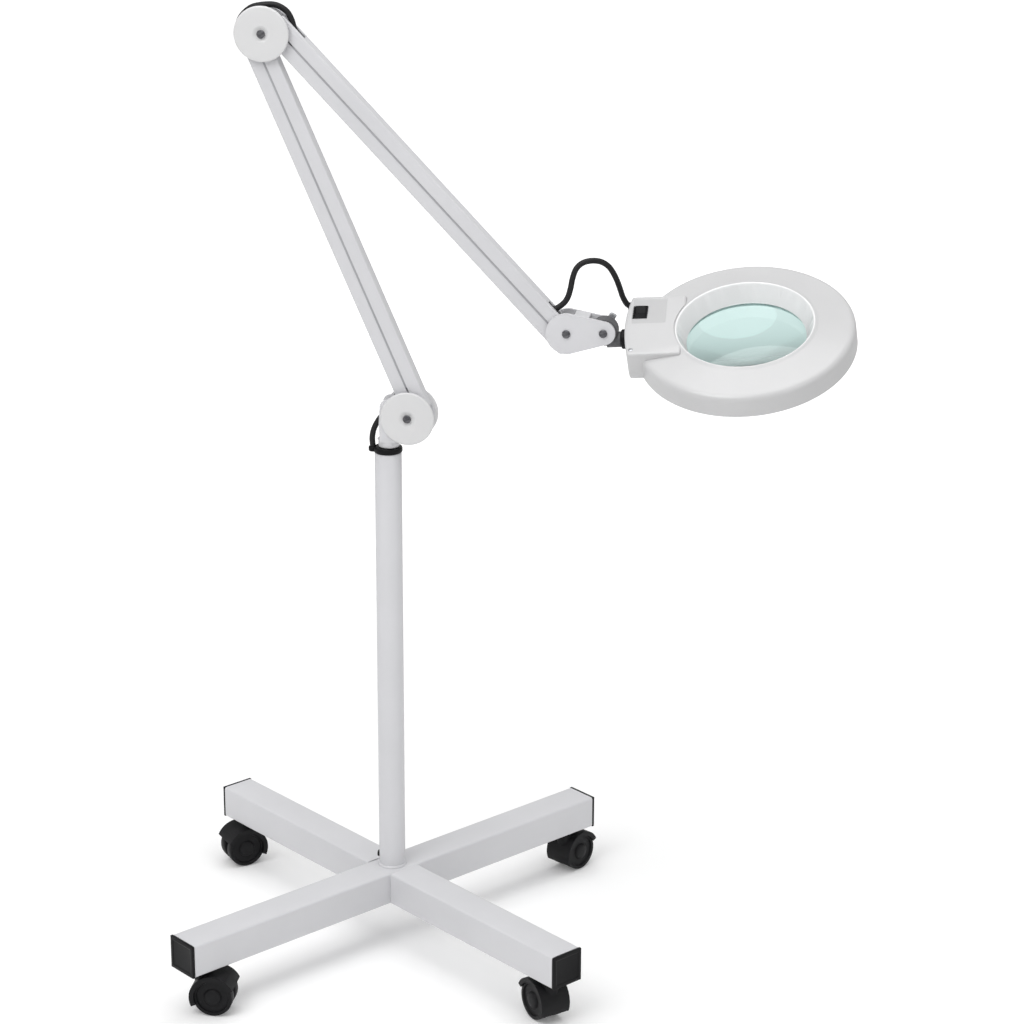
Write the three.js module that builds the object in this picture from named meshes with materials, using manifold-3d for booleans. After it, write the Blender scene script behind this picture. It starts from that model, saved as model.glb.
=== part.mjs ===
// Magnifying lamp on a rolling cross base: round pole, spring-balanced double arm, ring head with a lens.
// Millimetres, +Z up. The arm folds in the XZ plane and its head points along +X.
// The origin is on the floor, under the middle of the outline.
import * as THREE from 'three';
import { mergeVertices } from 'three/addons/utils/BufferGeometryUtils.js';
import Module from 'manifold-3d';

const wasm = await Module();
wasm.setup();

// ---- fits ----
const GAP = 0.3; // between fixed neighbours
const RUN = 0.4; // round a pin that turns

// ---- base cross ----
const BASE_TURN = 50.2; // degrees from the arm plane to the long beam
const LEG_REACH = 281; // pole axis to the outer face of an end cap
const LEG_WIDE = 38;
const LEG_HIGH = 36;
const LEG_WALL = 1.5;
const LEG_EDGE = 2.5;
const CAP_PLATE = 3;
const CAP_PLUG = 14;
const CAP_WALL = 2;
const BOLT_R = 5;
const BOLT_HEAD_R = 9;
const BOLT_HEAD_HIGH = 7;

// ---- casters ----
const CASTER_HIGH = 51; // floor to the underside of a leg
const CASTER_INSET = 27; // stem axis to the leg's end
const CASTER_TURNS = [56, 216, 0, 130]; // degrees from the arm plane to the way each wheel pair trails
const WHEEL_R = 21;
const WHEEL_WIDE = 13;
const WEB_HALF = 3;
const TRAIL = 12;
const AXLE_R = 3;
const STEM_R = 4.8;
const STEM_REACH = 18; // length of the stem inside the leg
const HOOD_WALL = 2.5;

// ---- pole ----
const POLE_R = 14;
const POLE_WALL = 1.5;
const POLE_LONG = 468.7;
const POLE_FLOOR = 5;
const COLLAR_HIGH = 6;
const COLLAR_PROUD = 0.9;
const BUSH_DEEP = 55;
const SPIGOT_R = 5;
const GROMMET_R = 3.6;
const GROMMET_UP = 5.5; // grommet's middle above the pole's floor

// ---- arms: each is two steel channels that keep parallel ----
const LOWER_LONG = 396;
const LOWER_LEAN = 113.1; // degrees, from +X to the direction of the elbow
const UPPER_LONG = 420;
const UPPER_LEAN = -46.6; // degrees, from +X to the direction of the head
const CHANNEL_WIDE = 13.4;
const CHANNEL_SLIT = 1.6;
const CHANNEL_WALL = 1.2;
const OUTER_HALF = 8;
const INNER_HALF = 6.4;
const PIN_PITCH = 17; // distance between the two pins at one end of an arm
const PIN_R = 2;
const CABLE_SLOT_HALF = 3.8;
const SPRING_R = 4;
const SPRING_LONG = 150;

// ---- joint plates and covers ----
const PLATE_IN = 8.6;
const PLATE_THICK = 2.5;
const COVER_R = 28;
const COVER_THICK = 2.8;
const SCREW_R = 2;
const SCREW_HEAD_R = 4.2;
const LOWER_SCREW = [22.6, 40.5]; // middle of the pole's top to the lower cover's screw
const SHOULDER = [6.3, 12.5]; // lower cover's screw to the middle of the lower arm's pins
const ELBOW_LOWER = [-5.3, -15.3]; // elbow screw to the middle of the lower arm's pins
const ELBOW_UPPER = [15.8, 2.6]; // elbow screw to the middle of the upper arm's pins
const ELBOW_PLATE_R = 25;
const BRACKET_R = 21;
const BRACKET_END_R = 12.1;
const BRACKET_THICK = 3;
const BRACKET_LONG = 37.5;
const BRACKET_RISE = 2.2;

// ---- head ----
const HEAD_PITCH = 4.7;
const HEAD_ROLL = 21.5;
const HEAD_REACH = 142.4; // tilt bolt to the lens axis
const TILT_BOLT_R = 3;
const KNUCKLE_R = 13.8;
const KNUCKLE_HALF = 8.2;
const AXIS_DROP = 9.6; // roll axis below the tilt bolt
const SHAFT_R = 4;
const FLANGE_R = 10;
const RIM_UP = 7; // roll axis to the plane of the ring's outer rim
const RIM_R = 109.2;
const RING_HIGH = 23.5;
const RING_WALL = 2.2;
const LIP_UP = 7;
const BEZEL_DOWN = 12.8;
const BEZEL_THICK = 0.9;
const LENS_R = 63.5;
const LIP_R = LENS_R + 6.5;
const BEZEL_R = LENS_R - 3.5;
const LENS_SAG = 5.8;
const LENS_EDGE = 2.6;
const NECK_END = -121.5;
const NECK_NEAR = 45;
const NECK_FAR = 51;
const NECK_BULGE_R = 220;
const NECK_BULGE_Y = 8;
const NECK_UP = 8;
const NECK_REACH = -62;
const LAMP_R = 88;
const LAMP_TUBE_R = 8;
const CABLE_PORT = [43, 1];
const SWITCH_AT = [-107, 24];
const SWITCH_SIZE = [11.5, 17];
const SWITCH_TIP = 7; // degrees that the rocker leans to its pressed end

const CABLE_R = 3;

// ---- finishes ----
const paint = (name, color, roughness, metalness) =>
  Object.assign(new THREE.MeshStandardMaterial({ color, roughness, metalness }), { name });
const white = paint('white_powder_coat', 0xe6e6e8, 0.42, 0.1);
const whitePlastic = paint('white_plastic', 0xececee, 0.45, 0);
const black = paint('black_plastic', 0x17181a, 0.5, 0);
const tyre = paint('black_tyre', 0x1c1d1f, 0.7, 0);
const rubber = paint('black_rubber', 0x141416, 0.65, 0);
const steel = paint('zinc_steel', 0x9a9ca0, 0.35, 0.9);
const glass = paint('lens_glass', 0xc9efe6, 0.05, 0);
const diffuser = paint('diffuser', 0xf4f4f0, 0.5, 0);

const rad = THREE.MathUtils.degToRad;
const lamp = new THREE.Group();

// ---- shaping ----
// Position-only closed mesh with shared corners, turned right side out.
function closed(geometry) {
  const bare = geometry.clone();
  bare.deleteAttribute('normal');
  bare.deleteAttribute('uv');
  const merged = mergeVertices(bare, 1e-4);
  const tri = [];
  const at = merged.index.array;
  for (let i = 0; i < at.length; i += 3) {
    const [a, b, c] = [at[i], at[i + 1], at[i + 2]];
    if (a !== b && b !== c && c !== a) tri.push(a, b, c);
  }
  merged.setIndex(tri);
  if (volume(merged) < 0) merged.setIndex(tri.reverse());
  return merged;
}

function volume(geometry) {
  const at = geometry.index.array;
  const spot = geometry.attributes.position;
  const corner = [0, 1, 2].map(() => new THREE.Vector3());
  let sum = 0;
  for (let i = 0; i < at.length; i += 3) {
    corner.forEach((v, k) => v.fromBufferAttribute(spot, at[i + k]));
    sum += corner[0].dot(corner[1].clone().cross(corner[2])) / 6;
  }
  return sum;
}

function solid(geometry) {
  const shape = closed(geometry);
  return new wasm.Manifold(new wasm.Mesh({
    numProp: 3,
    vertProperties: new Float32Array(shape.attributes.position.array),
    triVerts: new Uint32Array(shape.index.array),
  }));
}

function surface(body) {
  const { vertProperties, triVerts } = body.getMesh();
  const geometry = new THREE.BufferGeometry();
  geometry.setAttribute('position', new THREE.BufferAttribute(new Float32Array(vertProperties), 3));
  geometry.setIndex(Array.from(triVerts));
  return geometry;
}

const join = (...parts) => parts.map((p) => (p.isBufferGeometry ? solid(p) : p)).reduce((a, b) => a.add(b));
const cut = (body, ...tools) => tools.reduce((left, tool) => left.subtract(solid(tool)), body);

function add(name, shape, material, parent = lamp) {
  const geometry = shape.isBufferGeometry ? closed(shape) : surface(shape);
  geometry.computeVertexNormals();
  const mesh = new THREE.Mesh(geometry, material);
  mesh.name = name;
  parent.add(mesh);
  return mesh;
}

// Turned shape about Z (or about Y), from [radius, height] points. A profile off the axis closes on itself.
function turned(points, sides, axis = 'z') {
  const ends = [points[0], points[points.length - 1]];
  const loop = ends.every(([r]) => r === 0) ? points : [...points, points[0]];
  const geometry = new THREE.LatheGeometry(loop.map(([r, h]) => new THREE.Vector2(r, h)), sides);
  return axis === 'z' ? geometry.rotateX(Math.PI / 2) : geometry;
}

const rod = (r, from, to, sides = 16, axis = 'z') => (
  turned([[0, from], [r, from], [r, to], [0, to]], sides, axis)
);

const block = (x0, x1, y0, y1, z0, z1) =>
  new THREE.BoxGeometry(x1 - x0, y1 - y0, z1 - z0).translate((x0 + x1) / 2, (y0 + y1) / 2, (z0 + z1) / 2);

// Flat outline in the XZ plane given thickness from y0 to y1.
const plate = (shape, y0, y1, curveSegments = 10) =>
  new THREE.ExtrudeGeometry(shape, { depth: y1 - y0, bevelEnabled: false, curveSegments })
    .rotateX(Math.PI / 2)
    .translate(0, y1, 0);

function rounded(wide, high, edge) {
  const [w, h] = [wide / 2, high / 2];
  const shape = new THREE.Shape();
  shape.moveTo(w, h - edge);
  shape.absarc(w - edge, h - edge, edge, 0, Math.PI / 2);
  shape.absarc(edge - w, h - edge, edge, Math.PI / 2, Math.PI);
  shape.absarc(edge - w, edge - h, edge, Math.PI, Math.PI * 1.5);
  shape.absarc(w - edge, edge - h, edge, Math.PI * 1.5, Math.PI * 2);
  shape.closePath();
  return shape;
}

// Outline round two circles, the taut belt over both.
function belt([x0, z0], r0, [x1, z1], r1) {
  const along = Math.atan2(z1 - z0, x1 - x0);
  const lean = Math.acos((r0 - r1) / Math.hypot(x1 - x0, z1 - z0));
  const shape = new THREE.Shape();
  shape.absarc(x0, z0, r0, along + lean, along + 2 * Math.PI - lean);
  shape.absarc(x1, z1, r1, along - lean, along + lean);
  shape.closePath();
  return shape;
}

// Rod across the joint at an [x, z] place.
const crossRod = ([x, z], r, half, sides = 12) => rod(r, -half, half, sides, 'y').translate(x, 0, z);

const offset = ([x, z], [dx, dz]) => [x + dx, z + dz];
const polar = (angle, r) => [r * Math.cos(rad(angle)), r * Math.sin(rad(angle))];

function tube(points, steps) {
  const path = new THREE.CatmullRomCurve3(points.map((p) => new THREE.Vector3(...p)), false, 'centripetal');
  const ring = new THREE.Shape();
  const sides = 8;
  for (let i = 0; i < sides; i += 1) {
    const [x, y] = polar((360 * i) / sides, CABLE_R);
    if (i) ring.lineTo(x, y);
    else ring.moveTo(x, y);
  }
  ring.closePath();
  return new THREE.ExtrudeGeometry(ring, { steps, extrudePath: path, bevelEnabled: false });
}

// ---- places worked out from the driving sizes ----
const beamTop = CASTER_HIGH + LEG_HIGH;
const poleTop = beamTop + POLE_LONG;
const collarTop = poleTop + COLLAR_HIGH;
const screwLow = [LOWER_SCREW[0], poleTop + LOWER_SCREW[1]];
const slitHalf = (CHANNEL_WIDE + CHANNEL_SLIT) / 2;
const pinAlong = Math.sqrt((PIN_PITCH / 2) ** 2 - slitHalf ** 2);
// Half the pin pair of an arm, from the slit's middle to the outer channel's pin.
const halfPair = (lean, side) => offset(polar(lean + side * 90, slitHalf), polar(lean, -pinAlong));
const lowerHalf = halfPair(LOWER_LEAN, -1);
const upperHalf = halfPair(UPPER_LEAN, 1);
const negative = ([x, z]) => [-x, -z];
const lowerFoot = offset(screwLow, SHOULDER);
const lowerTop = offset(lowerFoot, polar(LOWER_LEAN, LOWER_LONG));
const screwElbow = offset(lowerTop, negative(ELBOW_LOWER));
const upperFoot = offset(screwElbow, ELBOW_UPPER);
const upperEnd = offset(upperFoot, polar(UPPER_LEAN, UPPER_LONG));
const screwHead = offset(upperEnd, upperHalf);
const tiltBolt = offset(screwHead, [BRACKET_LONG, BRACKET_RISE]);

// ---- base cross: one long beam, two short ones welded to its sides, end caps, casters ----
const stand = new THREE.Group();
stand.rotation.z = rad(BASE_TURN);
lamp.add(stand);
const beamEnd = LEG_REACH - CAP_PLATE - GAP;
const stemReach = LEG_REACH - CASTER_INSET;

// Square tube along X from x0 to x1, with holes for stems and bolts through its floor (and roof).
function beam(name, x0, x1, holes) {
  const outline = rounded(LEG_HIGH, LEG_WIDE, LEG_EDGE);
  outline.holes.push(rounded(LEG_HIGH - 2 * LEG_WALL, LEG_WIDE - 2 * LEG_WALL, LEG_EDGE - LEG_WALL));
  const bar = new THREE.ExtrudeGeometry(outline, { depth: x1 - x0, bevelEnabled: false, curveSegments: 2 })
    .rotateY(Math.PI / 2)
    .translate(x0, 0, CASTER_HIGH + LEG_HIGH / 2);
  const drills = holes.map(([x, r, top]) => rod(r, CASTER_HIGH - 1, top, 12).translate(x, 0, 0));
  return add(name, cut(solid(bar), ...drills), white, stand);
}
const stemHole = (x) => [x, STEM_R + RUN, CASTER_HIGH + LEG_WALL + 1];
beam('beam_long', -beamEnd, beamEnd, [
  stemHole(-stemReach),
  stemHole(stemReach),
  [0, BOLT_R + GAP, beamTop + 1],
]);
beam('beam_short_front', -beamEnd, -LEG_WIDE / 2 - GAP, [stemHole(-stemReach)]).rotation.z = Math.PI / 2;
beam('beam_short_rear', LEG_WIDE / 2 + GAP, beamEnd, [stemHole(stemReach)]).rotation.z = Math.PI / 2;

// Moulded cap: a plate as large as the tube and a hollow plug that grips its walls.
function endCap(name, turn) {
  const face = new THREE.ExtrudeGeometry(rounded(LEG_HIGH, LEG_WIDE, LEG_EDGE), {
    depth: CAP_PLATE, bevelEnabled: false, curveSegments: 2,
  });
  const plugSize = 2 * (LEG_WALL + GAP);
  const sleeve = rounded(LEG_HIGH - plugSize, LEG_WIDE - plugSize, 1);
  sleeve.holes.push(rounded(LEG_HIGH - plugSize - 2 * CAP_WALL, LEG_WIDE - plugSize - 2 * CAP_WALL, 0.5));
  const plug = new THREE.ExtrudeGeometry(sleeve, {
    depth: CAP_PLUG + 1, bevelEnabled: false, curveSegments: 1,
  });
  const body = surface(join(face, plug.translate(0, 0, -CAP_PLUG)))
    .rotateY(Math.PI / 2)
    .translate(LEG_REACH - CAP_PLATE, 0, CASTER_HIGH + LEG_HIGH / 2);
  add(name, body, black, stand).rotation.z = rad(turn);
}

// Hooded fork: a web between the wheels, the hood over them, a boss and the stem that turns in the leg.
function casterFork(name, place) {
  const [x, z] = [TRAIL, WHEEL_R];
  const hoodHalf = WEB_HALF + WHEEL_WIDE + 1;
  const hood = new THREE.Shape();
  hood.absarc(x, z, WHEEL_R + 1 + HOOD_WALL, rad(25), rad(205));
  hood.closePath();
  const body = join(
    plate(hood, -hoodHalf, hoodHalf, 10),
    crossRod([x, z], 8, WEB_HALF, 12),
    rod(9, CASTER_HIGH - 13, CASTER_HIGH - GAP, 16),
    rod(STEM_R, CASTER_HIGH - 3, CASTER_HIGH + STEM_REACH, 12),
  );
  const room = (y0, y1) => rod(WHEEL_R + 1, y0, y1, 20, 'y').translate(x, 0, z);
  const rooms = [room(WEB_HALF, hoodHalf + 1), room(-hoodHalf - 1, -WEB_HALF)];
  add(name, cut(body, crossRod([x, z], AXLE_R + RUN, hoodHalf, 12), ...rooms), black, place);
}

// Wheel with a dished face; the near one carries the axle, the far one is bored for it.
function wheel(name, withAxle, place) {
  const inner = WEB_HALF + 0.5;
  const outer = inner + WHEEL_WIDE;
  const axleTip = 6;
  const rim = [
    [7, outer - 0.5], [8.5, outer - 2.5], [16.5, outer - 2.5], [17.5, outer],
    [WHEEL_R, outer - 1.5], [WHEEL_R, inner + 1.5], [WHEEL_R - 1.4, inner],
  ];
  const profile = withAxle
    ? [[0, outer - 0.5], ...rim, [AXLE_R, inner], [AXLE_R, -inner - axleTip], [0, -inner - axleTip]]
    : [
      [0, outer - 0.5], ...rim,
      [AXLE_R + GAP, inner], [AXLE_R + GAP, inner + axleTip + 1], [0, inner + axleTip + 1],
    ];
  const shape = turned(profile, 14, 'y');
  if (!withAxle) shape.rotateZ(Math.PI);
  add(name, shape.translate(TRAIL, 0, WHEEL_R), tyre, place);
}

CASTER_TURNS.forEach((turn, i) => {
  const leg = 90 * i;
  const number = i + 1;
  endCap(`end_cap_${number}`, leg);
  const place = new THREE.Group();
  place.position.set(...polar(leg, stemReach), 0);
  place.rotation.z = rad(turn - BASE_TURN);
  stand.add(place);
  casterFork(`caster_fork_${number}`, place);
  wheel(`wheel_${number}a`, true, place);
  wheel(`wheel_${number}b`, false, place);
});

// ---- pole: round tube with a welded floor, bolted down through the long beam ----
const tubeIn = POLE_R - POLE_WALL;
const poleFoot = beamTop + GAP;
function pole() {
  const wall = turned([
    [BOLT_R + GAP, poleFoot], [POLE_R, poleFoot], [POLE_R, poleTop], [tubeIn, poleTop],
    [tubeIn, poleFoot + POLE_FLOOR], [BOLT_R + GAP, poleFoot + POLE_FLOOR],
  ], 28);
  const hole = rod(GROMMET_R, tubeIn - 4, POLE_R + 1, 12, 'y').rotateZ(Math.PI / 2);
  add('pole', cut(solid(wall), hole.translate(0, 0, grommetZ)), white);
}
const grommetZ = poleFoot + POLE_FLOOR + GROMMET_UP;
pole();

// Grommet snapped in the pole's wall near the foot, where the mains lead comes out.
function grommet() {
  const lip = GROMMET_R + 1.6;
  const shape = turned([
    [2.2, tubeIn - 1.5], [GROMMET_R - GAP, tubeIn - 1.5], [GROMMET_R - GAP, POLE_R + GAP],
    [lip, POLE_R + GAP], [lip - 0.8, POLE_R + 2.6], [2.2, POLE_R + 2.6],
  ], 14, 'y');
  add('lead_grommet', shape.rotateZ(Math.PI / 2).translate(0, 0, grommetZ), rubber);
}
grommet();

// Bolt up through the crossing into the pole's floor.
const boltTop = CASTER_HIGH - GAP;
add('base_bolt', join(
  new THREE.CylinderGeometry(BOLT_HEAD_R, BOLT_HEAD_R, BOLT_HEAD_HIGH, 6)
    .rotateX(Math.PI / 2).translate(0, 0, boltTop - BOLT_HEAD_HIGH / 2),
  rod(BOLT_R, boltTop - 1, poleFoot + POLE_FLOOR - 1, 16),
), steel);

// Black bushing in the pole's mouth: collar, sleeve, a slot for the lead and its side inlet.
const leadX = -15.6;
function poleBushing() {
  const collarR = POLE_R + COLLAR_PROUD;
  const bore = SPIGOT_R + RUN;
  const body = turned([
    [bore, poleTop - BUSH_DEEP], [tubeIn - GAP, poleTop - BUSH_DEEP], [tubeIn - GAP, poleTop + GAP],
    [collarR - 1, poleTop + GAP], [collarR, poleTop + GAP + 1], [collarR, collarTop - 1.5],
    [collarR - 1.5, collarTop], [bore, collarTop],
  ], 28);
  const inlet = rod(4.9, poleTop + GAP, collarTop - 0.6, 12).translate(leadX, 0, 0);
  const mouth = rod(CABLE_R + 2 * GAP, poleTop + 2, collarTop, 12).translate(leadX, 0, 0);
  add('pole_bushing', cut(join(body, inlet), mouth), black);
}
poleBushing();

// ---- lower joint ----
const plateOut = PLATE_IN + PLATE_THICK;
const boreOf = (at, r = PIN_R + GAP) => crossRod(at, r, 40, 12);
const pairOf = (middle, half) => [offset(middle, half), offset(middle, negative(half))];
const shoulderPins = pairOf(lowerFoot, lowerHalf);

// Swivel yoke: two plates on a tapered foot whose spigot turns in the pole's bushing.
function swivelYoke() {
  const [x, z] = screwLow;
  const footZ = collarTop + 8;
  const side = new THREE.Shape();
  side.moveTo(-6.5, footZ);
  side.lineTo(-7.5, z - 8);
  side.absarc(1.5, z + 10.5, 8, Math.PI * 1.02, Math.PI * 0.45, true);
  side.absarc(x, z, 25, Math.PI * 0.72, -Math.PI * 0.42, true);
  side.lineTo(9, footZ);
  side.closePath();
  const plates = [plate(side, PLATE_IN, plateOut, 6), plate(side, -plateOut, -PLATE_IN, 6)];
  const foot = block(-6.5, 9, -plateOut, plateOut, footZ - 1, footZ + 5);
  const stem = turned([
    [0, poleTop - BUSH_DEEP + 2], [SPIGOT_R, poleTop - BUSH_DEEP + 2], [SPIGOT_R, collarTop + 1],
    [11, footZ], [11, footZ + 0.5], [0, footZ + 0.5],
  ], 24);
  const boss = crossRod(screwLow, 4.6, PLATE_IN + 1);
  const body = join(...plates, foot, stem, boss);
  const bores = [boreOf(screwLow, SCREW_R + GAP), ...shoulderPins.map((at) => boreOf(at))];
  add('swivel_yoke', cut(body, ...bores), white);
}
swivelYoke();

// Round plastic cover with a domed face and a dished middle; side is 1 at the back and -1 in front.
function cover(name, [x, z], side) {
  const y0 = plateOut + GAP;
  const y1 = y0 + COVER_THICK;
  const shape = turned([
    [SCREW_R + GAP, y0], [COVER_R, y0], [COVER_R, y1 - 1], [COVER_R - 1.6, y1],
    [8.5, y1 + 0.5], [6.5, y1 - 0.8], [SCREW_R + GAP, y1 - 0.8],
  ], 24, 'y');
  if (side < 0) shape.rotateZ(Math.PI);
  add(name, shape.translate(x, 0, z), whitePlastic);
}

// Screw through both covers, with a slotted head in front and a cap nut behind.
function coverScrew(name, at) {
  const seat = plateOut + GAP + COVER_THICK - 0.8 + GAP;
  const slot = block(at[0] - 5, at[0] + 5, -seat - 4, -seat - 1.2, at[1] - 0.6, at[1] + 0.6);
  const head = (y0, y1) => rod(SCREW_HEAD_R, y0, y1, 18, 'y').translate(at[0], 0, at[1]);
  const body = join(crossRod(at, SCREW_R, seat + 1), head(-seat - 2.2, -seat), head(seat, seat + 2.2));
  add(name, cut(body, slot), steel);
}

cover('base_cover_front', screwLow, -1);
cover('base_cover_rear', screwLow, 1);
coverScrew('base_cover_screw', screwLow);
const pin = (name, at, half = plateOut) => add(name, crossRod(at, PIN_R, half, 12), steel);
pin('shoulder_pin_outer', shoulderPins[0]);
pin('shoulder_pin_inner', shoulderPins[1]);

// ---- arms ----
// Steel channel from pin to pin, open towards the slit. up is the side that its back faces, half its
// half depth, and slots are the stretches where the cable passes through its back.
function channel(name, from, lean, long, up, half, slots) {
  const r = CHANNEL_WIDE / 2;
  const side = new THREE.Shape();
  side.absarc(0, 0, r, Math.PI / 2, Math.PI * 1.5);
  side.absarc(long, 0, r, -Math.PI / 2, Math.PI / 2);
  side.closePath();
  const inside = half - CHANNEL_WALL;
  const tools = [
    block(-r - 1, long + r + 1, -inside, inside, -r - 1, r - CHANNEL_WALL),
    crossRod([0, 0], PIN_R + RUN, half + 1, 12),
    crossRod([long, 0], PIN_R + RUN, half + 1, 12),
    ...slots.map(([x0, x1]) => block(x0, x1, -CABLE_SLOT_HALF, CABLE_SLOT_HALF, 0, r + 1)),
  ];
  const body = surface(cut(solid(plate(side, -half, half, 6)), ...tools));
  add(name, body.rotateX(up < 0 ? Math.PI : 0).rotateY(-rad(lean)).translate(from[0], 0, from[1]), white);
}

// Balance spring along the outer channel, hooked at both ends.
function spring(name, from, lean, up) {
  const lift = (CHANNEL_WIDE / 2 - CHANNEL_WALL - SPRING_R - 0.6) * up;
  const start = 30;
  const end = start + SPRING_LONG;
  const coil = turned([
    [0, start - 14], [1, start - 14], [1, start - 1], [SPRING_R, start + 2], [SPRING_R, end - 2],
    [1, end + 1], [1, end + 14], [0, end + 14],
  ], 12);
  const shape = coil.rotateY(Math.PI / 2).translate(0, 0, lift).rotateY(-rad(lean));
  add(name, shape.translate(from[0], 0, from[1]), steel);
}

const slotLong = 46;
const [lowerStart, upperStart] = [pairOf(lowerFoot, lowerHalf), pairOf(upperFoot, upperHalf)];
channel('lower_channel_outer', lowerStart[0], LOWER_LEAN, LOWER_LONG, -1, OUTER_HALF, []);
channel('lower_channel_inner', lowerStart[1], LOWER_LEAN, LOWER_LONG, 1, INNER_HALF, [
  [-10, slotLong], [LOWER_LONG - slotLong, LOWER_LONG + 10],
]);
channel('upper_channel_outer', upperStart[0], UPPER_LEAN, UPPER_LONG, 1, OUTER_HALF, [
  [-10, slotLong], [UPPER_LONG - slotLong, UPPER_LONG + 10],
]);
channel('upper_channel_inner', upperStart[1], UPPER_LEAN, UPPER_LONG, -1, INNER_HALF, []);
spring('lower_spring', lowerStart[0], LOWER_LEAN, -1);
spring('upper_spring', upperStart[1], UPPER_LEAN, -1);

// ---- elbow ----
const elbowPins = [
  ...pairOf(offset(screwElbow, ELBOW_LOWER), lowerHalf),
  ...pairOf(offset(screwElbow, ELBOW_UPPER), upperHalf),
];
function elbowFrame() {
  const disc = (y0, y1) => rod(ELBOW_PLATE_R, y0, y1, 24, 'y').translate(screwElbow[0], 0, screwElbow[1]);
  const boss = crossRod(screwElbow, 4.6, PLATE_IN + 1);
  const body = join(disc(PLATE_IN, plateOut), disc(-plateOut, -PLATE_IN), boss);
  const bores = [boreOf(screwElbow, SCREW_R + GAP), ...elbowPins.map((at) => boreOf(at))];
  add('elbow_frame', cut(body, ...bores), white);
}
elbowFrame();
cover('elbow_cover_front', screwElbow, -1);
cover('elbow_cover_rear', screwElbow, 1);
coverScrew('elbow_screw', screwElbow);
['lower_outer', 'lower_inner', 'upper_outer', 'upper_inner'].forEach((name, i) => {
  pin(`elbow_pin_${name}`, elbowPins[i]);
});

// ---- head bracket: two drop-shaped plates joined by a web on top ----
const bracketOut = PLATE_IN + BRACKET_THICK;
const wristPins = pairOf(upperEnd, upperHalf);
function headBracket() {
  const drop = belt(screwHead, BRACKET_R, tiltBolt, BRACKET_END_R);
  const inner = belt(screwHead, BRACKET_R - 2.5, tiltBolt, BRACKET_END_R - 2.5);
  const web = cut(
    solid(plate(drop, -PLATE_IN - 1, PLATE_IN + 1, 8)),
    plate(inner, -20, 20, 8),
    block(-999, screwHead[0] + 8, -20, 20, 0, 999),
    block(tiltBolt[0] - 15, 999, -20, 20, 0, 999),
    block(-999, 999, -20, 20, 0, screwHead[1]),
  );
  const plates = [plate(drop, PLATE_IN, bracketOut, 8), plate(drop, -bracketOut, -PLATE_IN, 8)];
  const holes = [...wristPins, tiltBolt].map((at, i) => boreOf(at, (i === 2 ? TILT_BOLT_R : PIN_R) + GAP));
  add('head_bracket', cut(join(web, ...plates), ...holes), white);
}
headBracket();

// Pin with a slotted head in front, which is the bracket's visible screw.
function headedPin(name, [x, z], r, tip) {
  const seat = bracketOut + GAP;
  const head = rod(SCREW_HEAD_R, -seat - 2, -seat, 18, 'y');
  const slot = block(-5, 5, -seat - 3, -seat - 1.1, -0.6, 0.6);
  add(name, cut(join(rod(r, -seat - 1, tip, 14, 'y'), head), slot).translate(x, 0, z), steel);
}
headedPin('bracket_screw', wristPins[0], PIN_R, bracketOut);
pin('wrist_pin_inner', wristPins[1], bracketOut);
headedPin('tilt_bolt', tiltBolt, TILT_BOLT_R, bracketOut + 8);

// ---- wrist: knuckle on the tilt bolt, wing knob behind it, stem on the roll axis ----
const tilt = new THREE.Group();
tilt.position.set(tiltBolt[0], 0, tiltBolt[1]);
tilt.rotation.y = -rad(HEAD_PITCH);
lamp.add(tilt);
const roll = new THREE.Group();
roll.position.z = -AXIS_DROP;
roll.rotation.x = rad(HEAD_ROLL);
tilt.add(roll);
const neckAt = HEAD_REACH + NECK_END;
const flangeAt = neckAt - GAP - 3.8;

const alongX = (geometry) => geometry.rotateY(Math.PI / 2);
function knuckle() {
  const barrel = alongX(rod(8, 2, flangeAt - GAP, 16)).translate(0, 0, -AXIS_DROP);
  const bore = alongX(rod(SHAFT_R + RUN, 3, 30, 16)).translate(0, 0, -AXIS_DROP);
  const body = join(rod(KNUCKLE_R, -KNUCKLE_HALF, KNUCKLE_HALF, 24, 'y'), barrel);
  add('tilt_knuckle', cut(body, bore, rod(TILT_BOLT_R + RUN, -20, 20, 16, 'y')), black, tilt);
}
knuckle();

function wingKnob() {
  const y0 = bracketOut + RUN;
  const hub = rod(6, y0, y0 + 8, 18, 'y');
  const wingPlan = rounded(31, 7.5, 3);
  const wing = new THREE.ExtrudeGeometry(wingPlan, { depth: 3, bevelEnabled: false, curveSegments: 4 })
    .rotateX(Math.PI / 2)
    .translate(0, y0 + 6.5, 0)
    .rotateY(rad(-62));
  const bore = rod(TILT_BOLT_R + GAP, y0 - 1, y0 + 9, 14, 'y');
  const knob = cut(join(hub, wing), bore).translate(tiltBolt[0], 0, tiltBolt[1]);
  add('wing_knob', knob, steel);
}
wingKnob();

// Shaft that turns in the knuckle, with the flange against the neck and a nut inside it.
const nutAt = neckAt + 4;
add('neck_stem', alongX(turned([
  [0, 4.5], [SHAFT_R, 4.5], [SHAFT_R, flangeAt], [FLANGE_R - 1, flangeAt], [FLANGE_R, flangeAt + 1],
  [FLANGE_R, neckAt - GAP], [SHAFT_R, neckAt - GAP], [SHAFT_R, nutAt], [7, nutAt], [7, nutAt + 5],
  [SHAFT_R, nutAt + 5],
  [SHAFT_R, nutAt + 9], [0, nutAt + 9],
], 16)), black, roll);

// ---- head, with z = 0 in the plane of the ring's outer rim ----
const head = new THREE.Group();
head.position.set(HEAD_REACH, 0, RIM_UP);
roll.add(head);
const RING_SIDES = 36;

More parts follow.
